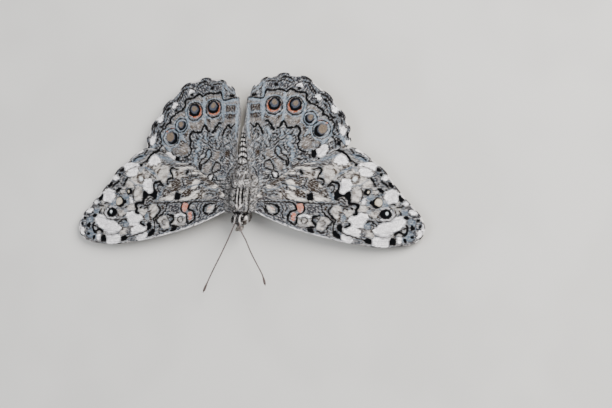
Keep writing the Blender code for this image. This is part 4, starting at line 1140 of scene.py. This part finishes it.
def wingFringe(name, wing, side, slot):
    # short hairs along the outer margin that point straight out, dark at the veins and pale between them
    count = wing["fringe"]
    share = random.uniform(0.01, 0.99, count)
    between = betweenVeins(wing["shape"], share)
    rows = []
    for u in (0.97, 0.992):
        plan = wingPlan(wing["shape"], np.full(count, u), share)
        height = wing["height"](plan[:, 0], plan[:, 1])
        rows.append(wing["pose"](np.column_stack([plan, height]) * [side, 1.0, 1.0], side))
    way = rows[1] - rows[0]
    lean = unit(way) + random.normal(0, fringe["stray"], (count, 3)) * [1.0, 1.0, 0.35]
    length = fringe["length"] * random.uniform(0.6, 1.1, count)
    uv = np.column_stack([share, 0 * share + 0.5])
    points, faces, spot = tufts(rows[1], lean, 0 * way, length, np.full(count, fringe["width"]), uv)
    tone = np.repeat(np.column_stack([between, 0 * share, 0 * share]), 7, axis=0)
    return addPiece(name, points, faces, fringeLook, uv=spot, fields={"tone": tone})


fringeLook, start, shader = newLook("wingFringe", 0.85, {"Specular IOR Level": 0.03})
between = channels(start, "tone")[0]
feed(shader, "Base Color", mix(*wingLook["fringe"], (between + noise(start, 0.3) * 0.5).step(0.6, 0.9)))
for word, side in bothSides:
    for kind, wing in wings.items():
        wingFringe(f"{kind}_fringe_{word}", wing, side, kind + "s")
# how many tufts, between which shares of the length, how long and wide in mm, how far they lift, lie back and lean
# out, and the angles round the body that they cover
allRound = (0.0, 360.0)
coats = {
    "coat_head": (9000, (0.02, 0.24), 0.42, 0.035, 0.6, 0.75, 0.0, allRound),
    "coat_cheeks": (2600, (0.03, 0.2), 0.62, 0.035, 0.5, 0.5, 0.9, (-10.0, 55.0)),
    "coat_thorax": (19000, (0.22, 0.62), 0.5, 0.04, 0.3, 1.0, 0.0, allRound),
    "coat_shoulders": (13000, (0.27, 0.62), 1.0, 0.04, 0.3, 0.45, 0.9, (0.0, 66.0)),
    "coat_abdomen": (16000, (0.62, 0.985), 0.3, 0.04, 0.2, 1.0, 0.0, allRound),
    "coat_tailroot": (5000, (0.57, 0.72), 0.8, 0.04, 0.25, 0.8, 0.6, (0.0, 75.0)),
}
for name, coat in coats.items():
    skinCoat(name, *coat)
print("body made")

# Eyes: a ball of facets

eyes = {"at": (1.2, -1.75, 5.1), "radii": (0.66, 0.83, 0.95), "turn": -3.5, "pivot": (0.0, 0.5), "facet": 0.055}
eyeLook, start, shader = newLook("eyeFacets", 0.22, {"Coat Weight": 0.4, "Coat Roughness": 0.1})
cells = {"Vector": place(start), "Scale": 1 / (eyes["facet"] * mm)}
cells = start.node("ShaderNodeTexVoronoi", {}, cells, out="Distance")
feed(shader, "Base Color", mix(tint(46, 32, 22), tint(20, 15, 12), noise(start, 0.6).step(0.4, 0.6)))
feed(shader, "Normal", bump(start, 1 - cells, 0.4, 0.015))


def headTurned(points, side):
    # the points on their side of the head, turned with it
    return turned(np.array(points) * [side, 1.0, 1.0], eyes["turn"], eyes["pivot"])


round64 = np.linspace(0, 2 * np.pi, 64, endpoint=False)
lift, angle = np.meshgrid(np.linspace(-1.53, 1.53, 40), round64, indexing="ij")
ball = np.stack([np.sin(lift), np.cos(lift) * np.cos(angle), np.cos(lift) * np.sin(angle)], axis=-1)
for word, side in bothSides:
    points, faces = closeRings(headTurned(ball * eyes["radii"] + eyes["at"], side))
    addPiece("eye_" + word, points, facingOut(points, faces), eyeLook, ["eye_" + word])

# Feelers: a thin ringed rod that thickens to a club

feelers = {
    "root": (0.42, -2.35, 6.05),
    "left": [(0.6, -2.9, 6.4), (0.83, -3.6, 6.45), (2.2, -6.1, 6.25), (3.5, -8.7, 6.1), (4.95, -11.1, 6.0),
             (6.35, -13.4, 5.95), (7.15, -15.65, 5.95)],
    "right": [(-0.75, -2.95, 6.35), (-1.05, -3.75, 6.4), (-2.3, -6.3, 6.05), (-3.75, -9.1, 5.7),
              (-5.25, -11.8, 5.35), (-6.65, -14.6, 5.1), (-7.85, -17.3, 4.9)],
    "radius": 0.15,
    "club": 0.27,
    "rings": 42,
}
feelerLook, start, shader = newLook("feelerShaft", 0.55)
band, club, _ = channels(start, "along")
colour = mix(tint(92, 80, 78), tint(58, 48, 46), noise(start, 0.5).step(0.4, 0.6))
colour = mix(colour, tint(150, 145, 145), band.step(0.75, 0.95) * 0.6)
colour = mix(colour, tint(66, 50, 48), club * 0.7)
feed(shader, "Base Color", colour)
feed(shader, "Normal", bump(start, noise(start, 0.06), 0.3, 0.02))
for word, side in bothSides:
    share = np.linspace(0, 1, 6 * feelers["rings"] + 1)
    centre = smoothLine(np.vstack([headTurned(feelers["root"], side), feelers[word]]))(share)
    swell = feelers["radius"] + (feelers["club"] - feelers["radius"]) * ease((share - 0.84) / 0.09)
    radius = swell * (1 - ease((share - 0.955) / 0.045) * 0.9)
    ring = np.abs(np.sin(np.pi * share * feelers["rings"]))
    radius = radius * (0.86 + 0.14 * ring**0.5)
    points, faces = tube(centre, radius, 16)
    marks = np.repeat(np.stack([1 - ring, ease((share - 0.84) / 0.06), 0 * share], axis=-1), 16, axis=0)
    marks = np.concatenate([marks, marks[[0, -1]]])
    addPiece(
        "antenna_" + word, points, facingOut(points, faces), feelerLook, ["antenna_" + word],
        fields={"along": marks},
    )

# Palps: short upturned horns of scales

palps = {
    "path": [(0.42, -2.3, 4.3), (0.44, -2.9, 4.25), (0.43, -3.3, 4.5), (0.38, -3.66, 4.95), (0.32, -3.78, 5.5)],
    "radii": [0.3, 0.32, 0.33, 0.28, 0.06],
}
limbLook, start, shader = newLook("limbScales", 0.75, {"Sheen Weight": 0.15})
colour = mix(tint(150, 144, 138), tint(92, 84, 78), noise(start, 0.4, 3.0).step(0.4, 0.6))
feed(shader, "Base Color", mix(colour, tint(205, 200, 194), noise(start, 0.25).step(0.55, 0.75)))
feed(shader, "Normal", bump(start, noise(start, 0.07), 0.5, 0.03))


def limbTufts(centre, radius, way, count, length, width):
    # tufts over a limb, rooted on its surface and lying along it
    share = random.uniform(0.03, 0.97, count)
    index = share * (len(centre) - 1)
    low = np.minimum(index.astype(int), len(centre) - 2)
    part = (index - low)[:, None]
    at = centre[low] * (1 - part) + centre[low + 1] * part
    size = np.interp(index, np.arange(len(radius)), radius)
    along = unit(way[low])
    angle = random.uniform(0, 2 * np.pi, count)
    across = unit(np.cross(along, [0.0, 0.0, 1.0]))
    normal = np.cos(angle)[:, None] * across + np.sin(angle)[:, None] * np.cross(across, along)
    root = at + normal * (size * 0.9)[:, None]
    lean = along + normal * 0.3 + random.normal(0, 0.12, (count, 3))
    spot = np.stack([share, angle / (2 * np.pi)], axis=-1)
    return tufts(root, lean, along * 0.3, length * random.uniform(0.6, 1.1, count), np.full(count, width), spot)


def makeLimb(name, path, radii, count, length, width, steps=90, joints=()):
    # a smooth limb through the path with a waist at each joint, and its scales as tufts over it
    share = np.linspace(0, 1, steps + 1)
    centre = smoothLine(path)(share)
    lengths = np.concatenate([[0.0], np.cumsum(np.linalg.norm(np.diff(path, axis=0), axis=1))])
    radius = np.interp(share, lengths / lengths[-1], radii)
    for joint in joints:
        radius = radius * (1 - 0.3 * np.exp(-(((share - joint) / 0.012) ** 2)))
    points, faces = tube(centre, radius, 18)
    points[:, 2] = np.maximum(points[:, 2], 0.0)
    addPiece(name, points, facingOut(points, faces), limbLook, [name])
    points, faces, spot = limbTufts(centre, radius, np.gradient(centre, axis=0), count, length, width)
    points[:, 2] = np.maximum(points[:, 2], 0.02)
    addPiece(name + "_scales", points, faces, limbLook, uv=spot)


legs = {
    "foreleg": {
        "path": [(0.85, 0.2, 2.6), (0.95, -0.1, 1.75), (0.95, -0.9, 1.95), (0.85, -1.7, 2.35)],
        "radii": [0.3, 0.28, 0.22, 0.1],
        "joints": (0.35,),
    },
    "midleg": {
        "path": [(1.5, 1.7, 2.3), (2.3, 1.65, 1.45), (4.3, 1.2, 2.35), (6.3, 0.75, 2.9), (7.5, 0.45, 2.0),
                 (9.1, 0.0, 0.55), (9.9, -0.25, 0.18), (11.1, -0.63, 0.16), (12.2, -0.97, 0.14)],
        "radii": [0.4, 0.38, 0.36, 0.3, 0.24, 0.2, 0.17, 0.15, 0.12],
        "joints": (0.1, 0.45, 0.76, 0.82, 0.87, 0.92),
    },
    "hindleg": {
        "path": [(1.5, 4.9, 2.3), (2.2, 5.4, 1.5), (3.6, 7.6, 2.35), (4.9, 9.6, 2.9), (5.7, 10.9, 2.1),
                 (6.9, 13.1, 0.55), (7.3, 13.8, 0.18), (7.85, 15.0, 0.16), (8.35, 16.1, 0.14)],
        "radii": [0.4, 0.38, 0.36, 0.3, 0.24, 0.2, 0.17, 0.15, 0.12],
        "joints": (0.1, 0.45, 0.76, 0.82, 0.87, 0.92),
    },
}
for word, side in bothSides:
    makeLimb("palp_" + word, headTurned(palps["path"], side), palps["radii"], 500, 0.3, 0.04, steps=40)
    for row, leg in legs.items():
        makeLimb(
            f"{row}_{word}", np.array(leg["path"]) * [side, 1, 1], leg["radii"], 900, 0.22, 0.035,
            joints=leg["joints"],
        )
print("head and limbs made")

# Floor, light and camera

def stand(thing, at, right, back):
    # puts the object at the place in metres, with its right-hand side along right, looking against back
    matrix = np.eye(4)
    matrix[:3, :3] = np.stack([right, np.cross(back, right), back], axis=1)
    matrix[:3, 3] = at
    thing.matrix_world = Matrix(matrix)
    bpy.context.scene.collection.objects.link(thing)


floorLook, start, shader = newLook("paleFloor", 0.9)
feed(shader, "Base Color", mix(tint(214, 212, 208), tint(208, 206, 202), noise(start, 30.0).step(0.4, 0.6)))
floorMesh = bpy.data.meshes.new("floor")
floorMesh.from_pydata([(-3, -3, 0), (3, -3, 0), (3, 3, 0), (-3, 3, 0)], [], [(0, 1, 2, 3)])
floorMesh.materials.append(floorLook)
floor = bpy.data.objects.new("floor", floorMesh)
bpy.context.scene.collection.objects.link(floor)

# the camera's place in mm in the measured frame, its directions, and its focal length in mm
view = {
    "at": (205.956, -50.804, 451.259),
    "right": (0.92037, 0.05171, -0.38761),
    "up": (-0.00539, 0.99280, 0.11966),
    "lens": 136.374,
}
cameraData = bpy.data.cameras.new("camera")
cameraData.lens = view["lens"]
cameraData.sensor_width = 36.0
cameraData.clip_start = 0.01
camera = bpy.data.objects.new("camera", cameraData)
right = unit(np.array(view["right"]))
back = unit(np.cross(right, view["up"]))
stand(camera, (np.array(view["at"]) + [0, shiftY, 0]) * mm, right, back)
bpy.context.scene.camera = camera

# a lamp is its place and size in metres, its power and its colour
lights = {
    "key": ((0.29, 0.15, 0.28), 0.3, 3.8, (1.0, 0.98, 0.95)),
    "fill": ((-0.3, -0.05, 0.42), 0.5, 1.5, (0.93, 0.96, 1.0)),
}


def makeLight(name, at, size, power, colour):
    # a round lamp at the place, in metres, that looks at the origin
    data = bpy.data.lights.new(name, "AREA")
    data.shape = "DISK"
    data.size, data.energy, data.color = size, power, colour
    lamp = bpy.data.objects.new(name, data)
    away = unit(np.array(at, float))
    stand(lamp, at, unit(np.cross([0.0, 0.0, 1.0], away)), away)


for name, light in lights.items():
    makeLight(name, *light)
room = {"Color": (0.9, 0.92, 0.95, 1.0), "Strength": 0.47}
world = bpy.data.worlds.new("softRoom")
world.use_nodes = True
for key, value in room.items():
    world.node_tree.nodes["Background"].inputs[key].default_value = value
bpy.context.scene.world = world
print("camera and light made")
